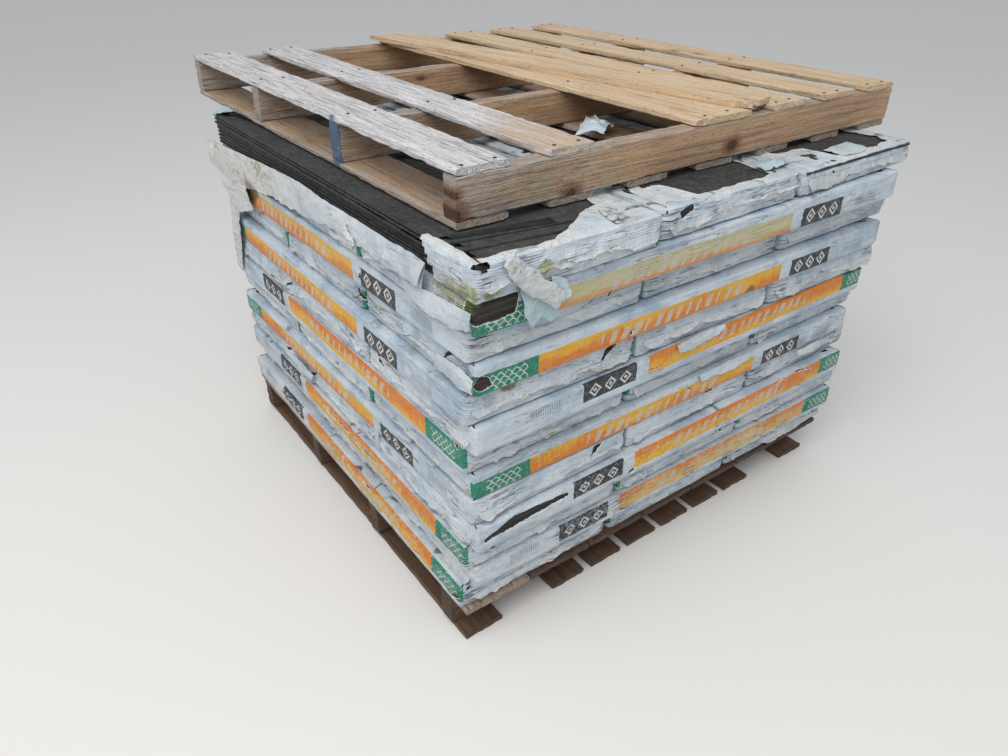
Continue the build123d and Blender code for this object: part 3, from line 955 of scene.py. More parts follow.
class Wrap:
    """The film round one bundle as a grid: its columns go round the plan and its rows up the side.

    rim gives the width of the torn film left on top at each point of the plan, or None for a closed top.
    """

    def __init__(self, block, layer, seed, fine_sides, rim):
        self.block, self.layer, self.seed, self.fine_sides = block, layer, seed, fine_sides
        self.draw = np.random.default_rng(seed)
        self.places, self.outs, runs, total = plan_path(block, fine_sides)
        self.side_u = [side_coordinate(block, runs, total, side) for side in range(4)]
        self.end_share = smooth(0.25, 0.9, np.abs(self.outs[:, 0]))
        self.which_end = (self.outs[:, 0] > 0).astype(int)
        self.q = np.where(self.outs[:, 0] > 0, self.side_u[1], self.side_u[3])
        self.corner = smooth(70, 12, np.minimum(self.q, block.width - self.q))[:, None]
        self.run = runs + seed * 977.0
        self.height = block.height()
        self.worn = CREASED.get(layer, 0.15)
        radius = SIDE_ROUND + (END_ROUND - SIDE_ROUND) * self.end_share
        radius = radius * (1 + 0.35 * layered(self.run / 45.0, seed=seed + 11))
        self.seam_z = radius + self.seam() * (self.height - 2 * radius)
        self.room, cap = None, PLAIN_CAP
        if rim is not None:
            self.room = np.maximum(rim(block.spot(self.places - self.outs * radius[:, None])), 1.5)
            cap = [np.minimum(inset, self.room) for inset in OPEN_CAP]
        self.deep, self.up, self.run_v, self.above = wall_profile(radius, self.height, self.seam_z, cap)
        self.rows = self.up.shape[1]
        self.wall = smooth(2.0, 8.0, self.up) * smooth(2.0, 8.0, self.height - self.up)
        self.on_top = smooth(self.height - 1.0, self.height, self.up)
        self.curl = np.zeros_like(self.up)

    def seam(self):
        """How far up the seam runs, as a share of the height. It crosses each end a little aslant."""
        slopes = self.draw.uniform(-0.22, 0.22, 2)[self.which_end]
        levels = self.draw.uniform(0.40, 0.56, 2)[self.which_end]
        waver = 0.05 * layered(self.q / 55.0, self.seed * 3.1, seed=self.seed)
        seam = levels + slopes * (self.q / self.block.width - 0.5) + waver
        return 0.5 + (seam - 0.5) * self.end_share

    def push_of_sides(self, run, up, seed):
        """Soft waves and lengthwise folds."""
        push = layered(run / 130.0, up / 40.0, seed=seed)
        push = push + 1.3 * folds(run / 75.0, up / 13.0, seed=seed + 2) ** 3 - 0.9
        fine = folds(run / 27.0 + up / 30.0, up / 9.0, seed=seed + 5)
        return push + (0.4 + self.worn) * 1.5 * fine ** 2

    def push_of_ends(self, run, up, seed):
        """A pillow that sits back from its seam, with pleats at its corners and crumpled film."""
        from_corner = np.minimum(self.q, self.block.width - self.q)[:, None]
        waves = 3 * layered(run / 30.0, up / 30.0, seed=seed + 12)
        pleats = np.sin((from_corner * 0.55 + up * 0.9) / 4.2 + waves)
        push = -END_SINK * np.abs(2 * (up / self.height) - 1) ** 1.8 - 1.0
        push += 2.2 * layered(run / 40.0, up / 24.0, seed=seed + 3) + 0.9 * pleats * self.corner
        push += 2.4 * folds(run / 34.0 + up / 26.0, up / 12.0, seed=seed + 4) ** 2 - 1.2
        return push + 0.9 * layered(run / 10.0, up / 6.0, seed=seed + 6, octaves=2)

    def push(self):
        """How far the film stands out from the bundle's plain walls."""
        run, e = self.run[:, None], self.end_share[:, None]
        sides = self.push_of_sides(run, self.up, self.seed)
        ends = self.push_of_ends(run, self.up, self.seed)
        push = (sides * (1 - e) + ends * e) * np.maximum(self.wall, 0.35 * e)
        inset = self.draw.uniform(0.0, 5.0, 2)[self.which_end] * self.end_share
        return push - inset[:, None]

    def to_outline(self, side, outline):
        """Distance of each point of the film to an outline on one of its sides."""
        return outline_distance(self.side_u[side][:, None] + 0 * self.up, self.run_v, outline)

    def shown_faces(self):
        """For each face of the load this bundle shows on: face, side, its left end, sense and length."""
        for face in ("right", "left"):
            side, start, sense = self.block.face_places(face)
            long_side = side in (0, 2)
            hidden = side not in self.fine_sides or face == "left" and self.block.middle[0] > -300
            if not (long_side and hidden):
                yield face, side, start, sense, self.block.length if long_side else self.block.width

    def tears(self):
        """Distance of each point of the film to the nearest slit or hole."""
        tear = np.full_like(self.deep, FAR)
        for face, side, start, sense, length in self.shown_faces():
            outlines = [curved_slit(*slit) for slit in SLITS.get((self.layer, face), ())]
            for outline in outlines + HOLES.get((self.layer, face), []):
                local = [((at - start) * sense, high) for at, high in outline]
                if min(local)[0] < length + 12 and max(local)[0] > -12:
                    tear = np.minimum(tear, self.to_outline(side, local))
        taken = {self.block.face_places(face)[0] for face in ("right", "left")}
        for side, outline in random_slits(self.block, self.seed, taken, self.height):
            tear = np.minimum(tear, self.to_outline(side, outline))
        return tear

    def marked(self, table):
        """1 at the middle of the nearest mark of a table, falling to 0 at its reach."""
        best = np.zeros_like(self.run_v)
        for face, side, start, sense, length in self.shown_faces():
            for at, high, reach in table.get((self.layer, face), ()):
                local = (at - start) * sense
                if -20 < local < length + 20:
                    away = np.hypot(self.side_u[side][:, None] - local, (self.run_v - high) * 1.4)
                    best = np.maximum(best, smooth(reach, reach * 0.2, away))
        return best

    def laid(self, push):
        """The film's points, on the load's sloping top and with the rim of an open top curling up."""
        run = self.run[:, None]
        inwards = self.outs[:, None, :] * (self.deep - push)[..., None]
        xy = self.block.spot(self.places[:, None, :] - inwards)
        x, y = xy[..., 0], xy[..., 1]
        ceiling = self.block.top(xy) - self.block.foot
        dip = 0.9 * layered(run / 60.0, seed=self.seed + 13) - 0.9
        z = self.block.foot + self.up * (ceiling / self.height)
        z = z + dip * smooth(self.height * 0.6, self.height, self.up)
        if self.room is not None:
            inset = np.maximum(self.run_v - self.height, 0) * self.on_top
            self.curl = smooth(24.0, 0.0, self.room[:, None] - inset) * self.on_top
            z = z + self.curl * (2.2 + 2.6 * layered(x / 30.0, y / 30.0, seed=self.seed + 8))
            z = z + self.on_top * 0.8 * layered(x / 22.0, y / 22.0, seed=self.seed + 14)
        return np.concatenate([xy, z[..., None]], axis=2)

    def look(self, tear, moss, stain):
        """The fields that the film's material reads."""
        run, e, length = self.run[:, None], self.end_share[:, None], self.block.length
        inverted = self.layer in INVERTED
        nearer = np.abs(self.side_u[2] - length / 2) < np.abs(self.side_u[0] - length / 2)
        u = np.where(nearer, self.side_u[2], self.side_u[0])
        on_side = smooth(length / 2 - 2, length / 2 - 6, np.abs(u - length / 2))
        print_u = (length - u if inverted else u) - PRINT_START.get(self.layer, 0.0)
        print_v = (self.height - self.run_v if inverted else self.run_v) + self.draw.uniform(-2, 2)
        crumpled = 0.35 * folds(run / 26.0, self.up / 14.0, seed=self.seed + 9)
        crease = np.clip(smooth(9.0, 0.0, np.abs(self.above + 6.0)) * 0.5 * e + crumpled * e, 0, 1)
        crease = np.maximum(np.maximum(crease, 0.25 * (1 - e) * self.worn), 0.8 * self.curl)
        return film_fields(
            self.up.shape, print_u=print_u[:, None], print_v=print_v, print_on=on_side[:, None],
            crease=crease, tear=tear, moss=moss, stain=stain, fade=FADE.get(self.layer, 0.0),
            ridge=((0.30 + 0.60 * self.corner) * e + 0.12 * (1 - e)) * self.wall,
            scuff=(0.2 + 0.8 * self.worn) * (1 - e) + 0.45 * e, wall=1 - self.on_top)

    def faces(self, gone):
        """The grid's faces, apart from those with a corner that is gone, and the lids of a closed film."""
        count = len(self.places)
        index = np.arange(count * self.rows).reshape(count, self.rows)
        if self.room is not None:
            last = self.rows - len(OPEN_CAP) + np.searchsorted(OPEN_CAP, self.room)
            index = index[np.arange(count)[:, None], np.minimum(np.arange(self.rows), last[:, None])]
        faces = []
        for i in range(count):
            k = (i + 1) % count
            for j in range(self.rows - 1):
                if gone[i, j] or gone[k, j] or gone[k, j + 1] or gone[i, j + 1]:
                    continue
                face = tuple(dict.fromkeys((index[i, j], index[k, j], index[k, j + 1], index[i, j + 1])))
                if len(face) > 2:
                    faces.append(face)
        if self.room is None:
            faces.append(tuple(index[:, -1]))
        faces.append(tuple(index[::-1, 0]))
        return faces


def wrapped_bundle(name, block, layer, seed, fine_sides, rim=None, missing=None):
    """The film round one bundle with its tears and a fin across each end.

    missing(xy, height) says where the film is gone.
    """
    wrap = Wrap(block, layer, seed, fine_sides, rim)
    push, tear = wrap.push(), wrap.tears()
    sunk = smooth(3.5, -2.0, tear) * (wrap.up < wrap.height - 1)
    push = push - sunk * 3.0 + 1.6 * smooth(7.0, 2.0, tear) * smooth(0.0, 2.0, tear) * wrap.wall
    grid = wrap.laid(push)
    xy = grid[..., :2]
    moss = wrap.marked(MOSSY)
    fields = wrap.look(tear, moss, wrap.marked(STAINED))
    gone = np.zeros(wrap.up.shape, bool) if missing is None else missing(xy, wrap.up)
    faces = wrap.faces(gone)

    points = [grid.reshape(-1, 3)]
    for side in (1, 3):
        on_end = np.nonzero((wrap.end_share > 0.98) & (wrap.which_end == (side == 1)))[0]
        if missing is not None and missing(xy[on_end, wrap.rows // 2], np.zeros(len(on_end))).any():
            continue
        root = push[on_end][:, SEAM_ROWS].max(1)
        strip, strip_faces = fin(block, wrap.places[on_end], wrap.outs[on_end], wrap.q[on_end], root,
                                 block.foot + wrap.seam_z[on_end], seed * 4 + side)
        start = sum(len(p) for p in points)
        faces += [tuple(int(n) + start for n in face) for face in strip_faces]
        points.append(strip.reshape(-1, 3))
        edge = np.r_[np.linspace(0, 1, FIN_ROWS), np.linspace(1, 0, FIN_ROWS)][None, :]
        extra = film_fields(strip.shape[:2], crease=0.25 + 0.35 * edge, scuff=0.7,
                            moss=moss[on_end, SEAM_ROWS.stop - 1][:, None])
        fields = {key: np.concatenate([fields[key], extra[key]]) for key in fields}
    return make_mesh(name, np.concatenate(points), faces, fields, MATERIAL["film"],
                     sharp=42)


# Torn film and bare shingles

def along_line(points, shares):
    """Points at shares of the way along a line given by its corners, rounded a little at each."""
    points = np.array(points, float)
    run = np.r_[0, np.cumsum(np.linalg.norm(np.diff(points, axis=0), axis=1))]
    run /= run[-1]
    return np.stack([np.interp(shares, run, points[:, n]) for n in range(points.shape[1])], axis=1)


def line_length(points):
    return np.linalg.norm(np.diff(np.array(points, float), axis=0), axis=1).sum()


def sheet_faces(columns, rows):
    """Faces of a thin sheet with a front and a back grid of points, joined round their border."""
    front = np.arange(columns * rows).reshape(columns, rows)
    back = front + columns * rows
    faces = []
    for i in range(columns - 1):
        for j in range(rows - 1):
            quad = [(i, j), (i, j + 1), (i + 1, j + 1), (i + 1, j)]
            faces.append(tuple(int(front[p]) for p in quad))
            faces.append(tuple(int(back[p]) for p in quad[::-1]))
    border = [(i, 0) for i in range(columns)] + [(columns - 1, j) for j in range(1, rows)]
    border += [(i, rows - 1) for i in range(columns - 2, -1, -1)] + [(0, j) for j in range(rows - 2, 0, -1)]
    for p, k in zip(border, border[1:] + border[:1]):
        faces.append((int(front[p]), int(front[k]), int(back[k]), int(back[p])))
    return faces


def film_sheet(name, upper, lower, outward, seed, rests_on, swell=4.0, crumple=2.0, ragged=4.0, step=4.0,
               held="hung", replaced=(), **given):
    """A loose piece of film between an upper and a lower edge, swelling outwards and crumpled.

    Its flat size is the length of its edges by the distance between them, before it was crumpled.
    """
    wide = (line_length(upper) + line_length(lower)) / 2
    t = np.linspace(0, 1, max(6, round(wide / step)))
    top, bottom = along_line(upper, t), along_line(lower, t)
    deep = float(np.linalg.norm(top - bottom, axis=1).mean())
    s = np.linspace(0, 1, max(5, round(deep / step)))
    a, b = t[:, None] * wide, s[None, :] * deep
    outward = np.array(outward, float) / np.linalg.norm(outward)
    down = (bottom - top) / np.maximum(np.linalg.norm(bottom - top, axis=1), 1e-6)[:, None]
    ahead = (top[-1] - top[0]) / np.linalg.norm(top[-1] - top[0])

    # tattered along its lower edge and at both sides
    tatter = ragged * (layered(a / 34.0, seed=seed) + 0.3 * noise(a / 7.0, seed=seed + 1))
    grid = top[:, None, :] + (bottom - top)[:, None, :] * s[None, :, None]
    grid = grid + down[:, None, :] * (tatter * np.sqrt(s)[None, :])[..., None]
    at_sides = np.maximum(smooth(0.12, 0, t), smooth(0.88, 1, t))[:, None]
    grid = grid + (0.6 * ragged * layered(b / 20.0, seed=seed + 2) * at_sides)[..., None] * ahead

    # swelling, crests and fine crumples
    uneven = 0.7 + 0.5 * layered(a / 60.0, seed=seed + 3)
    bulge = swell * np.sin(math.pi * (0.1 + 0.8 * s))[None, :] * uneven
    crest = np.clip(folds(a / 38.0 + b / 30.0, b / 90.0, seed=seed + 5), 0, 1) ** 3
    rough = crumple * (0.8 * layered(a / 46.0, b / 40.0, seed=seed + 4, octaves=2) + crest - 0.2)
    fine = 0.08 * crumple * noise(a / 6.0, b / 6.0, seed=seed + 6)
    grid = grid + (bulge + rough + fine)[..., None] * outward
    back = grid - outward * FILM_THICK

    pale = 0.3 * np.clip(layered(a / 50.0, b / 30.0, seed=seed + 7), 0, 1)
    fields = {"crease": 0.08 + 0.4 * crest + pale, "scuff": 0.25}
    for key, value in given.items():
        fields[key] = value(grid) if callable(value) else value
    fields = {key: np.tile(value, 2) for key, value in film_fields(grid.shape[:2], **fields).items()}
    obj = make_mesh(name, np.concatenate([grid.reshape(-1, 3), back.reshape(-1, 3)]),
                    sheet_faces(len(t), len(s)), fields, MATERIAL["film"], sharp=38)
    if replaced:
        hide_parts(*replaced)
    list(rests_on)


def film_roll(name, start, end, girth, seed):
    """A crumpled roll of film, thicker towards its middle."""
    start, end = np.array(start, float), np.array(end, float)
    way = (end - start) / np.linalg.norm(end - start)
    first = np.cross(way, (0, 0, 1.0))
    first /= np.linalg.norm(first)
    second = np.cross(way, first)
    points = np.zeros((ROLL_STEPS, ROLL_TURNS, 3))
    angle = 2 * math.pi * np.arange(ROLL_TURNS) / ROLL_TURNS
    for i in range(ROLL_STEPS):
        t = i / (ROLL_STEPS - 1)
        size = girth * (0.72 + 0.38 * math.sin(math.pi * t))
        size = size * (1 + 0.16 * layered(angle * 0.9, t * 5, seed=seed))
        size = size + 1.6 * folds(angle * 0.8 + t * 2, t * 5, seed=seed + 1)
        size = size + 1.0 * noise(angle * 2, t * 14, seed=seed + 2)
        frayed = way * 3.0 * noise(angle * 2, t, seed=seed + 3)[:, None] * (t > 0.9)
        middle = start + (end - start) * t + second * 5 * math.sin(t * 5.1) + frayed
        round_x = first * (np.cos(angle) * size * 0.5)[:, None]
        points[i] = middle + round_x + second * (np.sin(angle) * size * 1.15)[:, None]
    index = np.arange(ROLL_STEPS * ROLL_TURNS).reshape(ROLL_STEPS, ROLL_TURNS)
    faces = ring_faces(index) + [tuple(index[0, ::-1]), tuple(index[-1])]
    high = points[..., 2]
    fields = film_fields(
        high.shape, scuff=0.5, moss=0.30 + 0.2 * smooth(high.max() - 60, high.max() - 5, high),
        crease=0.6 + 0.4 * layered(points[..., 0] / 14, high / 14, seed=seed + 4))
    make_mesh(name, points.reshape(-1, 3), faces, fields, MATERIAL["film"], sharp=40)


def slab_outline(setback, shift, seed):
    """Points round one shingle, finely divided where its edges show, in local places."""
    near_left, near_right = setback
    corners = np.array([(-SHINGLE_HALF_L + near_right, -SHINGLE_HALF_W), (SHINGLE_HALF_L, -SHINGLE_HALF_W),
                        (SHINGLE_HALF_L, SHINGLE_HALF_W), (-SHINGLE_HALF_L + near_left, SHINGLE_HALF_W)])
    points, outs = [], []
    for n, step in enumerate((40.0, 12.0, 7.0, 5.0)):
        a, b = corners[n], corners[(n + 1) % 4]
        count = max(3, round(np.linalg.norm(b - a) / step))
        way = (b - a) / np.linalg.norm(b - a)
        for k in range(count):
            points.append(a + (b - a) * k / count)
            outs.append((way[1], -way[0]))
    points, outs = np.array(points), np.array(outs)
    wear = 1.1 * layered(points[:, 0] / 70.0, points[:, 1] / 70.0, seed, seed=seed)
    wear = wear + 0.5 * noise(np.arange(len(points)) / 1.7, seed, seed=seed + 1)
    return points + outs * (wear - 1.4)[:, None] + np.array(shift), outs


def opened_stack(block):
    """The bare shingles of the opened bundle, one on another, uneven and with the top ones drawn back."""
    draw = np.random.default_rng(77)
    points, faces, edge, moss = [], [], [], []
    for n in range(SHINGLE_COUNT):
        odd = n % 2
        setback = SHINGLE_SETBACK[n] if n < len(SHINGLE_SETBACK) else (2.0 * odd, 2.0 * odd)
        slide = (3.0, 1.0) if n < 5 else (10.0, -3.0)
        shift = (slide[0] + draw.uniform(-1.5, 1.5), slide[1] - 3.0 * odd + draw.uniform(-1.6, 1.2))
        outline, outs = slab_outline(setback, shift, 300 + n)
        start, count = sum(len(p) for p in points), len(outline)
        for inset, share in SLAB_ROWS:
            xy = block.spot(outline - outs * inset)
            level = 1 - (n + 1 - share) / SHINGLE_COUNT
            z = block.foot + 0.4 + (block.top(xy) - 1.6 - block.foot - 0.4) * level
            near = 1.0 + 2.2 * smooth(-470, -590, xy[:, 1]) * (n < 4)
            ripple = 0.5 * near * noise(xy[:, 0] / 50.0, xy[:, 1] / 50.0, seed=n) * (0.05 < share < 0.99)
            points.append(np.c_[xy, z + ripple])
            edge.append(np.full(count, 0.9 if 0.0 < share < 0.97 else 0.0))
            moss.append(smooth(-430, -590, xy[:, 1]) * (0.55 if inset else 0.35) + 0.12)
        index = start + np.arange(len(SLAB_ROWS) * count).reshape(len(SLAB_ROWS), count)
        faces += [(a, d, c, b) for a, b, c, d in ring_faces(index)]
        faces += [tuple(index[0]), tuple(index[-1, ::-1])]
    fields = {"edge": np.concatenate(edge), "moss": np.concatenate(moss)}
    obj = make_mesh("opened_shingle_stack", np.concatenate(points), faces, fields, MATERIAL["shingle"],
                    sharp=35)
    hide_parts("opened_bundle_shingles")


def bare_top(name, block, seed):
    """The top shingle of a bundle whose film is torn open above: a thin slab with a gently uneven face."""
    half = np.array([block.length / 2 - 7, block.width / 2 - 7])
    across, along = np.linspace(-half[1], half[1], 36), np.linspace(-half[0], half[0], 100)
    local = np.stack(np.meshgrid(along, across, indexing="ij"), axis=2)
    xy = block.spot(local)
    from_edge = np.minimum(half[0] - np.abs(local[..., 0]), half[1] - np.abs(local[..., 1]))
    sag = 0.8 * layered(xy[..., 0] / 60.0, xy[..., 1] / 60.0, seed=seed) + 3.0 * smooth(9.0, 0.0, from_edge)
    top = block.top(xy) - 1.5 - sag
    shape = top.shape
    upper = np.concatenate([xy, top[..., None]], axis=2).reshape(-1, 3)
    index = np.arange(top.size).reshape(shape)
    faces = [(index[i, j], index[i + 1, j], index[i + 1, j + 1], index[i, j + 1])
             for i in range(shape[0] - 1) for j in range(shape[1] - 1)]
    ring = list(index[:, 0]) + list(index[-1, 1:]) + list(index[-2::-1, -1]) + list(index[0, -2:0:-1])
    lower = upper[ring] - np.array([0, 0, SHINGLE_PITCH])
    below = len(upper) + np.arange(len(ring))
    faces += ring_faces(np.array([ring, below])) + [tuple(below)]
    points = np.concatenate([upper, lower])
    fields = {"edge": np.zeros(len(points)), "moss": smooth(-500, -585, points[:, 1]) * 0.3}
    make_mesh(name, points, faces, fields, MATERIAL["shingle"], sharp=40)


def open_rim(index):
    """The width of the film left on top of one of the top bundles, at each x and y of the load."""
    near_x, near_width = zip(*NEAR_RIM[index])

    def width(xy):
        x, y = xy[..., 0], xy[..., 1]
        near = np.interp(x, near_x, near_width)
        other = SIDE_RIM + 26.0 * layered(x / 60.0, y / 60.0, seed=40 + index)
        if index == 0:
            other = np.where(x < -420, 9.0, other)
        share = smooth(-560.0, -535.0, y)
        ragged = 3.0 * layered(x / 12.0, y / 12.0, seed=50 + index)
        return near * (1 - share) + other * share + ragged

    return width


def no_film_on_left(xy, up):
    """Where the opened bundle's film is gone: its left side, apart from a piece at the near corner."""
    x, y = xy[..., 0], xy[..., 1]
    left = x < -570
    tip = -457.0 + 34.0 * (up / 60.0 - 0.5) + 7.0 * layered(up / 9.0, seed=3)
    notch = (np.abs(y + 587.0) < (up - 36.0) * 0.5) & (x < -560)
    return (left & (y > tip)) | notch


def skirt_moss(grid):
    y, z = grid[..., 1], grid[..., 2]
    patch = 0.62 * smooth(170, 20, np.hypot(y - 200, (z - 752) * 2.2))
    return np.maximum(patch, 0.50 * smooth(340, 520, y) * smooth(715, 745, z))


def skirt_stain(grid):
    return 0.7 * smooth(90, 10, np.hypot(grid[..., 1] - 290, (grid[..., 2] - 690) * 1.5))


def skirt_crease(grid):
    return 0.25 + 0.60 * smooth(-150, 200, grid[..., 1])


def build_torn_film(block):
    """The film torn off the opened bundle, with the flaps and scraps that hang from the load."""
    film_sheet("torn_wrap_skirt", [(SKIRT_X + 3, y, z) for y, z in SKIRT_TOP],
               [(SKIRT_X + 1, y, z) for y, z in SKIRT_LOW], (-1, 0, 0.12), 501,
               ["bundle_12_1", "bundle_12_2", "bundle_12_3"], swell=6.0, crumple=2.6, ragged=5.0, step=5.0,
               replaced=("torn_wrap",), moss=skirt_moss, stain=skirt_stain, crease=skirt_crease)
    for n, (name, top, low, x, crease) in enumerate(LEFT_FLAPS):
        film_sheet("torn_flap_" + name, [(x + 2, y, z) for y, z in top], [(x, y, z) for y, z in low],
                   (-1, 0, 0.1), 520 + n * 9, ["torn_wrap_skirt"], crumple=2.2, ragged=3.5, crease=crease)
    for n, (name, top, low, teal, y) in enumerate(NEAR_FLAPS):
        film_sheet("torn_flap_" + name, [(x, y + 2, z) for x, z in top], [(x, y, z) for x, z in low],
                   (0, -1, 0.1), 580 + n * 9, ["bundle_12_1"], swell=1.5, crumple=2.2, ragged=5.0,
                   teal=teal)
    film_roll("torn_film_roll", (-532, -590, 812), (-446, -592, 722), 12.5, 640)
    film_roll("torn_film_curl", (-596, -206, 757), (-599, -234, 728), 8.0, 650)

    def on_top(line, high):
        return [(x, y, float(block.top(np.array([x, y]))) + high) for x, y in line]

    for n, (name, far, near, high, teal, swell, crumple) in enumerate(SCRAPS):
        film_sheet("torn_scrap_" + name, on_top(far, high), on_top(near, high), (0, 0, 1), 660 + n * 9,
                   ["bundle_13_2"], swell=swell, crumple=crumple, held="laid", teal=teal)
    film_sheet("torn_scrap_between_boards", *SCRAP_ON_BOARD, (0, 0, 1), 700,
               ["aged_top_pallet_bottom_board_3"], swell=14.0, crumple=11.0, ragged=9.0, step=2.8,
               held="laid", teal=0.1)


# Boards

def board_axes(points):
    """Middle and unit axes of a board, long one first and thin one last."""
    middle = (points.min(0) + points.max(0)) / 2
    axes = np.linalg.svd(points - points.mean(0), full_matrices=False)[2]
    if axes[0][np.abs(axes[0]).argmax()] < 0:
        axes[0] = -axes[0]
    if axes[1][np.abs(axes[1]).argmax()] < 0:
        axes[1] = -axes[1]
    axes[2] = np.cross(axes[0], axes[1])
    if abs(axes[2][2]) > 0.5 and axes[2][2] < 0:
        axes[0], axes[2] = -axes[0], -axes[2]
    return middle, axes


def cut_board(node, middle, axes, low, high):
    """Points and faces of a board's CAD solid, cut across at even steps along each of its axes."""
    work = bmesh.new()
    work.from_mesh(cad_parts[node].data)
    bmesh.ops.remove_doubles(work, verts=work.verts, dist=1e-5)
    for axis, step in enumerate(BOARD_STEPS):
        for place in np.arange(low[axis] + step * 0.7, high[axis] - step * 0.5, step):
            bmesh.ops.bisect_plane(
                work, geom=work.verts[:] + work.edges[:] + work.faces[:], dist=1e-7,
                plane_co=Vector(((middle + axes[axis] * place) * MM).tolist()),
                plane_no=Vector(axes[axis].tolist()))
    bmesh.ops.triangulate(work, faces=[f for f in work.faces if len(f.verts) > 4])
    points = np.array([v.co for v in work.verts]) / MM
    faces = [tuple(v.index for v in f.verts) for f in work.faces]
    work.free()
    return points, faces


def worn_shape(local, high, seed, wear):
    """A board's local points after years of use: wavy faces, chipped edges and rough ends."""
    a, b, c = local.T
    off = seed * 41.7
    side = np.sign(b) * smooth(high[1] - 14.0, high[1] - 1.0, np.abs(b))
    face = np.sign(c) * smooth(high[2] * 0.5, high[2] * 0.95, np.abs(c))
    end = np.sign(a) * smooth(high[0] - 5.0, high[0] - 0.5, np.abs(a))
    waves = 0.9 * layered(a / 110.0 + off, seed=seed) + 0.35 * noise(a / 18.0 + off, seed=seed + 1)
    chipped = np.clip(layered(a / 20.0 + off, b / 60.0, seed=seed + 3) * 1.5, 0, 1)
    at_edge = smooth(8.0, 0.0, np.minimum(high[1] - np.abs(b), 9.0)) * np.abs(face) * chipped
    shape = local.copy()
    shape[:, 0] += wear * end * (1.6 * noise(b / 7.0 + off, c / 9.0, seed=seed + 4) - 1.6)
    shape[:, 1] += wear * side * (waves - 0.6)
    shape[:, 1] -= np.sign(b) * wear * 2.0 * at_edge
    shape[:, 2] += wear * face * (0.4 * layered(a / 120.0, b / 30.0, seed=seed + 2) - 0.3)
    shape[:, 2] -= np.sign(c) * wear * 2.2 * at_edge
    return shape


def aged_board(node, material, weather, grime, tint=0.0, wear=1.0):
    """A sawn board cut from its CAD solid. weather, grime and tint are numbers, or functions of the
    points in the board's own axes and in the load's.
    """
    seed = sum(ord(letter) * (n + 3) for n, letter in enumerate(node)) % 97
    middle, axes = board_axes(node_corners(node))
    reach = (node_points(node) - middle) @ axes.T
    high = reach.max(0)
    points, faces = cut_board(node, middle, axes, reach.min(0), high)
    local = (points - middle) @ axes.T
    at = middle + worn_shape(local, high, seed, wear) @ axes
    x, z = at[:, 0], at[:, 2]

    # each board's wood is its own part of the grain
    fields = {"wood": local + np.array([seed * 731.0, (seed * 37 % 19 - 9) * 3.3, (seed * 53 % 11) * 2.1])}
    for key, value in (("weather", weather), ("grime", grime), ("tint", tint)):
        fields[key] = value(local, at) if callable(value) else np.full(len(at), value)
    cut_end = smooth(high[0] - 2.0, high[0] - 0.5, np.abs(local[:, 0]))
    to_edge = np.minimum(high[1] - np.abs(local[:, 1]), 9.0)
    rubbed = 0.25 * smooth(10.0, 0.0, to_edge) * (high[2] < 20)
    fields["weather"] = fields["weather"] + rubbed + 0.2 * cut_end
    fields["grime"] = fields["grime"] + 0.25 * cut_end
    knot, moss = np.full(len(at), 5.0), np.zeros(len(at))
    for knot_x, knot_z, size in KNOTS.get(node, ()):
        knot = np.minimum(knot, np.hypot((x - knot_x) / 1.3, z - knot_z) / size)
    for moss_x, moss_z, size in MOSS_ON_WOOD.get(node, ()):
        moss = np.maximum(moss, 0.75 * smooth(1.5, 0.3, np.hypot(x - moss_x, z - moss_z) / size))
    fields.update(knot=knot, moss=moss)
    obj = make_mesh("aged_" + node, at, faces, fields, MATERIAL[material], sharp=32)
    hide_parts(node)


def nail_heads(nodes, stringers):
    """Two domed nail heads where each deck board crosses each stringer, as one mesh."""
    draw = np.random.default_rng(9)
    points, faces = [], []
    for node in nodes:
        board = node_corners(node)
        middle, axes = board_axes(board)
        reach = ((board - middle) @ axes.T).max(0)
        for stringer in stringers:
            bar = node_corners(stringer)
            along = float(((bar.min(0) + bar.max(0)) / 2 - middle) @ axes[0])
            for side in (-0.55 * reach[1], 0.5 * reach[1]):
                spot = np.array([along + draw.uniform(-7, 7), side + draw.uniform(-9, 9), reach[2]])
                index = len(points) + np.arange(len(NAIL_RINGS) * NAIL_SIDES).reshape(-1, NAIL_SIDES)
                for radius, high in NAIL_RINGS:
                    for k in range(NAIL_SIDES):
                        angle = 2 * math.pi * k / NAIL_SIDES
                        local = spot + np.array([radius * math.cos(angle), radius * math.sin(angle), high])
                        points.append(middle + local @ axes)
                faces += ring_faces(index) + [tuple(index[-1]), tuple(index[0, ::-1])]
    make_mesh("top_pallet_nail_heads", points, faces, {}, MATERIAL["nail"], sharp=50)


# Building the load

def fine_sides_of(n, count, along_y):
    """The long sides of a bundle that show from outside the load."""
    sides = set()
    if n == 0:
        sides.add(2 if along_y else 0)
    if n == count - 1:
        sides.add(0 if along_y else 2)
    return sides


def build_bundles():
    for layer in range(1, LAYER_COUNT):
        node = f"bundle_layer_{layer:02d}"
        blocks = [Block(points) for points in loose_solids(node)]
        along_y = blocks[0].along_y
        blocks.sort(key=lambda b: b.middle[0] if along_y else b.middle[1])
        for n, block in enumerate(blocks):
            fine = fine_sides_of(n, len(blocks), along_y)
            obj = wrapped_bundle(f"bundle_{layer:02d}_{n + 1}", block, layer, layer * 10 + n, fine)
            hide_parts(node)


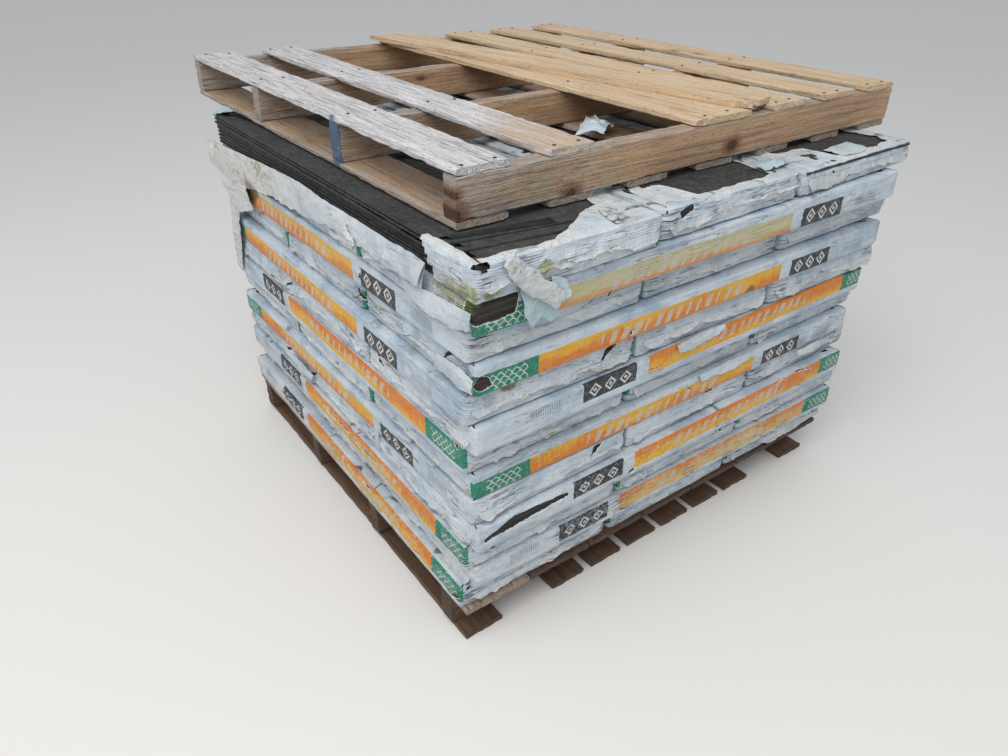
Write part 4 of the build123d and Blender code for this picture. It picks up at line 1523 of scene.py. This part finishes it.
def build_crown():
    """The three bundles on top, open above, and the first one's film torn off its side."""
    node = f"bundle_layer_{CROWN:02d}"
    second, third = sorted((Block(points) for points in loose_solids(node)), key=lambda b: b.middle[0])
    for n, block in ((1, second), (2, third)):
        fine = {0, 2} if n == 2 else {2}
        obj = wrapped_bundle(f"bundle_{CROWN}_{n + 1}", block, CROWN, CROWN * 10 + n, fine, rim=open_rim(n))
        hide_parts(node)
        bare_top(f"bare_top_{n + 1}", block, 150 + n)
    opened = second.beside(third)
    opened.middle = opened.middle + np.array([-5.0, -13.0])
    wrapped_bundle("bundle_13_opened", opened, CROWN, CROWN * 10, {2}, open_rim(0), no_film_on_left)
    opened_stack(opened)
    build_torn_film(opened)


def build_pallets():
    nodes = sorted(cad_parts)
    deck = [node for node in nodes if node.startswith("top_pallet_deck_board")]
    stringers = [node for node in nodes if node.startswith("top_pallet_stringer")]
    painted = node_points(stringers[1])
    painted_end = painted[painted[:, 0] < painted[:, 0].min() + 60.0].mean(0)

    def paint_on_end(local, at):
        return 0.70 * smooth(-530, -538, at[:, 0])

    def paint_on_edge(local, at):
        """Paint that runs from a stringer's end over the edge of the board nailed to it."""
        edge = smooth(-0.80, -0.92, local[:, 1] / np.abs(local[:, 1]).max())
        return 0.62 * edge * smooth(22.0, 12.0, np.abs(at[:, 1] - painted_end[1]))

    def bleached_far(local, at):
        return 0.05 + 0.45 * smooth(-420, -120, at[:, 1])

    def bleached_left(local, at):
        return 0.35 + 0.35 * smooth(-100, -480, at[:, 0])

    for node in nodes:
        if node == "base_pallet_deck_board_1":
            aged_board(node, "brown", 0.45, 0.3)
        elif node.startswith("base_pallet"):
            # the base pallet's boards get the brown wood darkened as painted shade from the load above
            aged_board(node, "brown_in_painted_shade", 0.4, 0.4)
        elif node == deck[0]:
            aged_board(node, "grey", 0.45, 0.05, tint=paint_on_edge, wear=1.2)
        elif node == deck[1]:
            aged_board(node, "grey", bleached_far, 0.05, wear=1.2)
        elif node.startswith("top_pallet_bottom"):
            tint = paint_on_edge if node.endswith("_1") else 0.0
            aged_board(node, "brown", 0.55, 0.25, tint=tint)
        elif node in stringers:
            tint = paint_on_end if node == stringers[1] else 0.0
            aged_board(node, "brown", bleached_left, 0.12, tint=tint)
        elif node.startswith("top_pallet"):
            aged_board(node, "tan", 0.22, 0.06)
    nail_heads(deck, stringers)


def build_stage():
    floor = bpy.data.meshes.new("floor")
    corners = [(x * FLOOR_REACH, y * FLOOR_REACH, 0) for x, y in ((-1, -1), (1, -1), (1, 1), (-1, 1))]
    floor.from_pydata(corners, [], [(0, 1, 2, 3)])
    obj = bpy.data.objects.new("floor", floor)
    bpy.context.scene.collection.objects.link(obj)
    material = bpy.data.materials.new("plain_floor")
    material.use_nodes = True
    shader = material.node_tree.nodes["Principled BSDF"]
    shader.inputs["Base Color"].default_value = (0.74, 0.73, 0.71, 1)
    shader.inputs["Roughness"].default_value = 0.9
    floor.materials.append(material)


def build_light():
    world = bpy.data.worlds.new("soft_sky")
    world.use_nodes = True
    world.node_tree.nodes["Background"].inputs[0].default_value = (0.93, 0.96, 1.0, 1)
    world.node_tree.nodes["Background"].inputs[1].default_value = 0.62
    bpy.context.scene.world = world
    lamp = bpy.data.lights.new("soft_box", "AREA")
    lamp.energy, lamp.size = 150.0, 3.4
    lamp.color = (1.0, 0.98, 0.95)
    obj = bpy.data.objects.new("soft_box", lamp)
    bpy.context.scene.collection.objects.link(obj)
    obj.location = (-2.2, -1.6, 4.0)
    obj.rotation_mode = "QUATERNION"
    obj.rotation_quaternion = (Vector((0, 0, 0.4)) - obj.location).to_track_quat("-Z", "Y")


def build_camera():
    data = bpy.data.cameras.new("camera")
    data.sensor_width = SENSOR
    data.lens = SENSOR * CAMERA_FOCAL_PX / PHOTO_WIDTH_PX
    data.clip_start, data.clip_end = 0.05, 100.0
    obj = bpy.data.objects.new("camera", data)
    bpy.context.scene.collection.objects.link(obj)
    yaw, pitch, roll = (math.radians(a) for a in (CAMERA_YAW, CAMERA_PITCH, CAMERA_ROLL))
    ahead = Vector((math.sin(yaw) * math.cos(pitch), math.cos(yaw) * math.cos(pitch), -math.sin(pitch)))
    right = Vector((math.cos(yaw), -math.sin(yaw), 0))
    up = right.cross(ahead)
    right, up = right * math.cos(roll) + up * math.sin(roll), up * math.cos(roll) - right * math.sin(roll)
    turn = Matrix((right, up, -ahead)).transposed().to_4x4()
    obj.matrix_world = Matrix.Translation(CAMERA_AT) @ turn
    bpy.context.scene.camera = obj


build_bundles()
build_crown()
build_pallets()
build_stage()
build_light()
build_camera()
bpy.context.scene.view_settings.view_transform = "Standard"
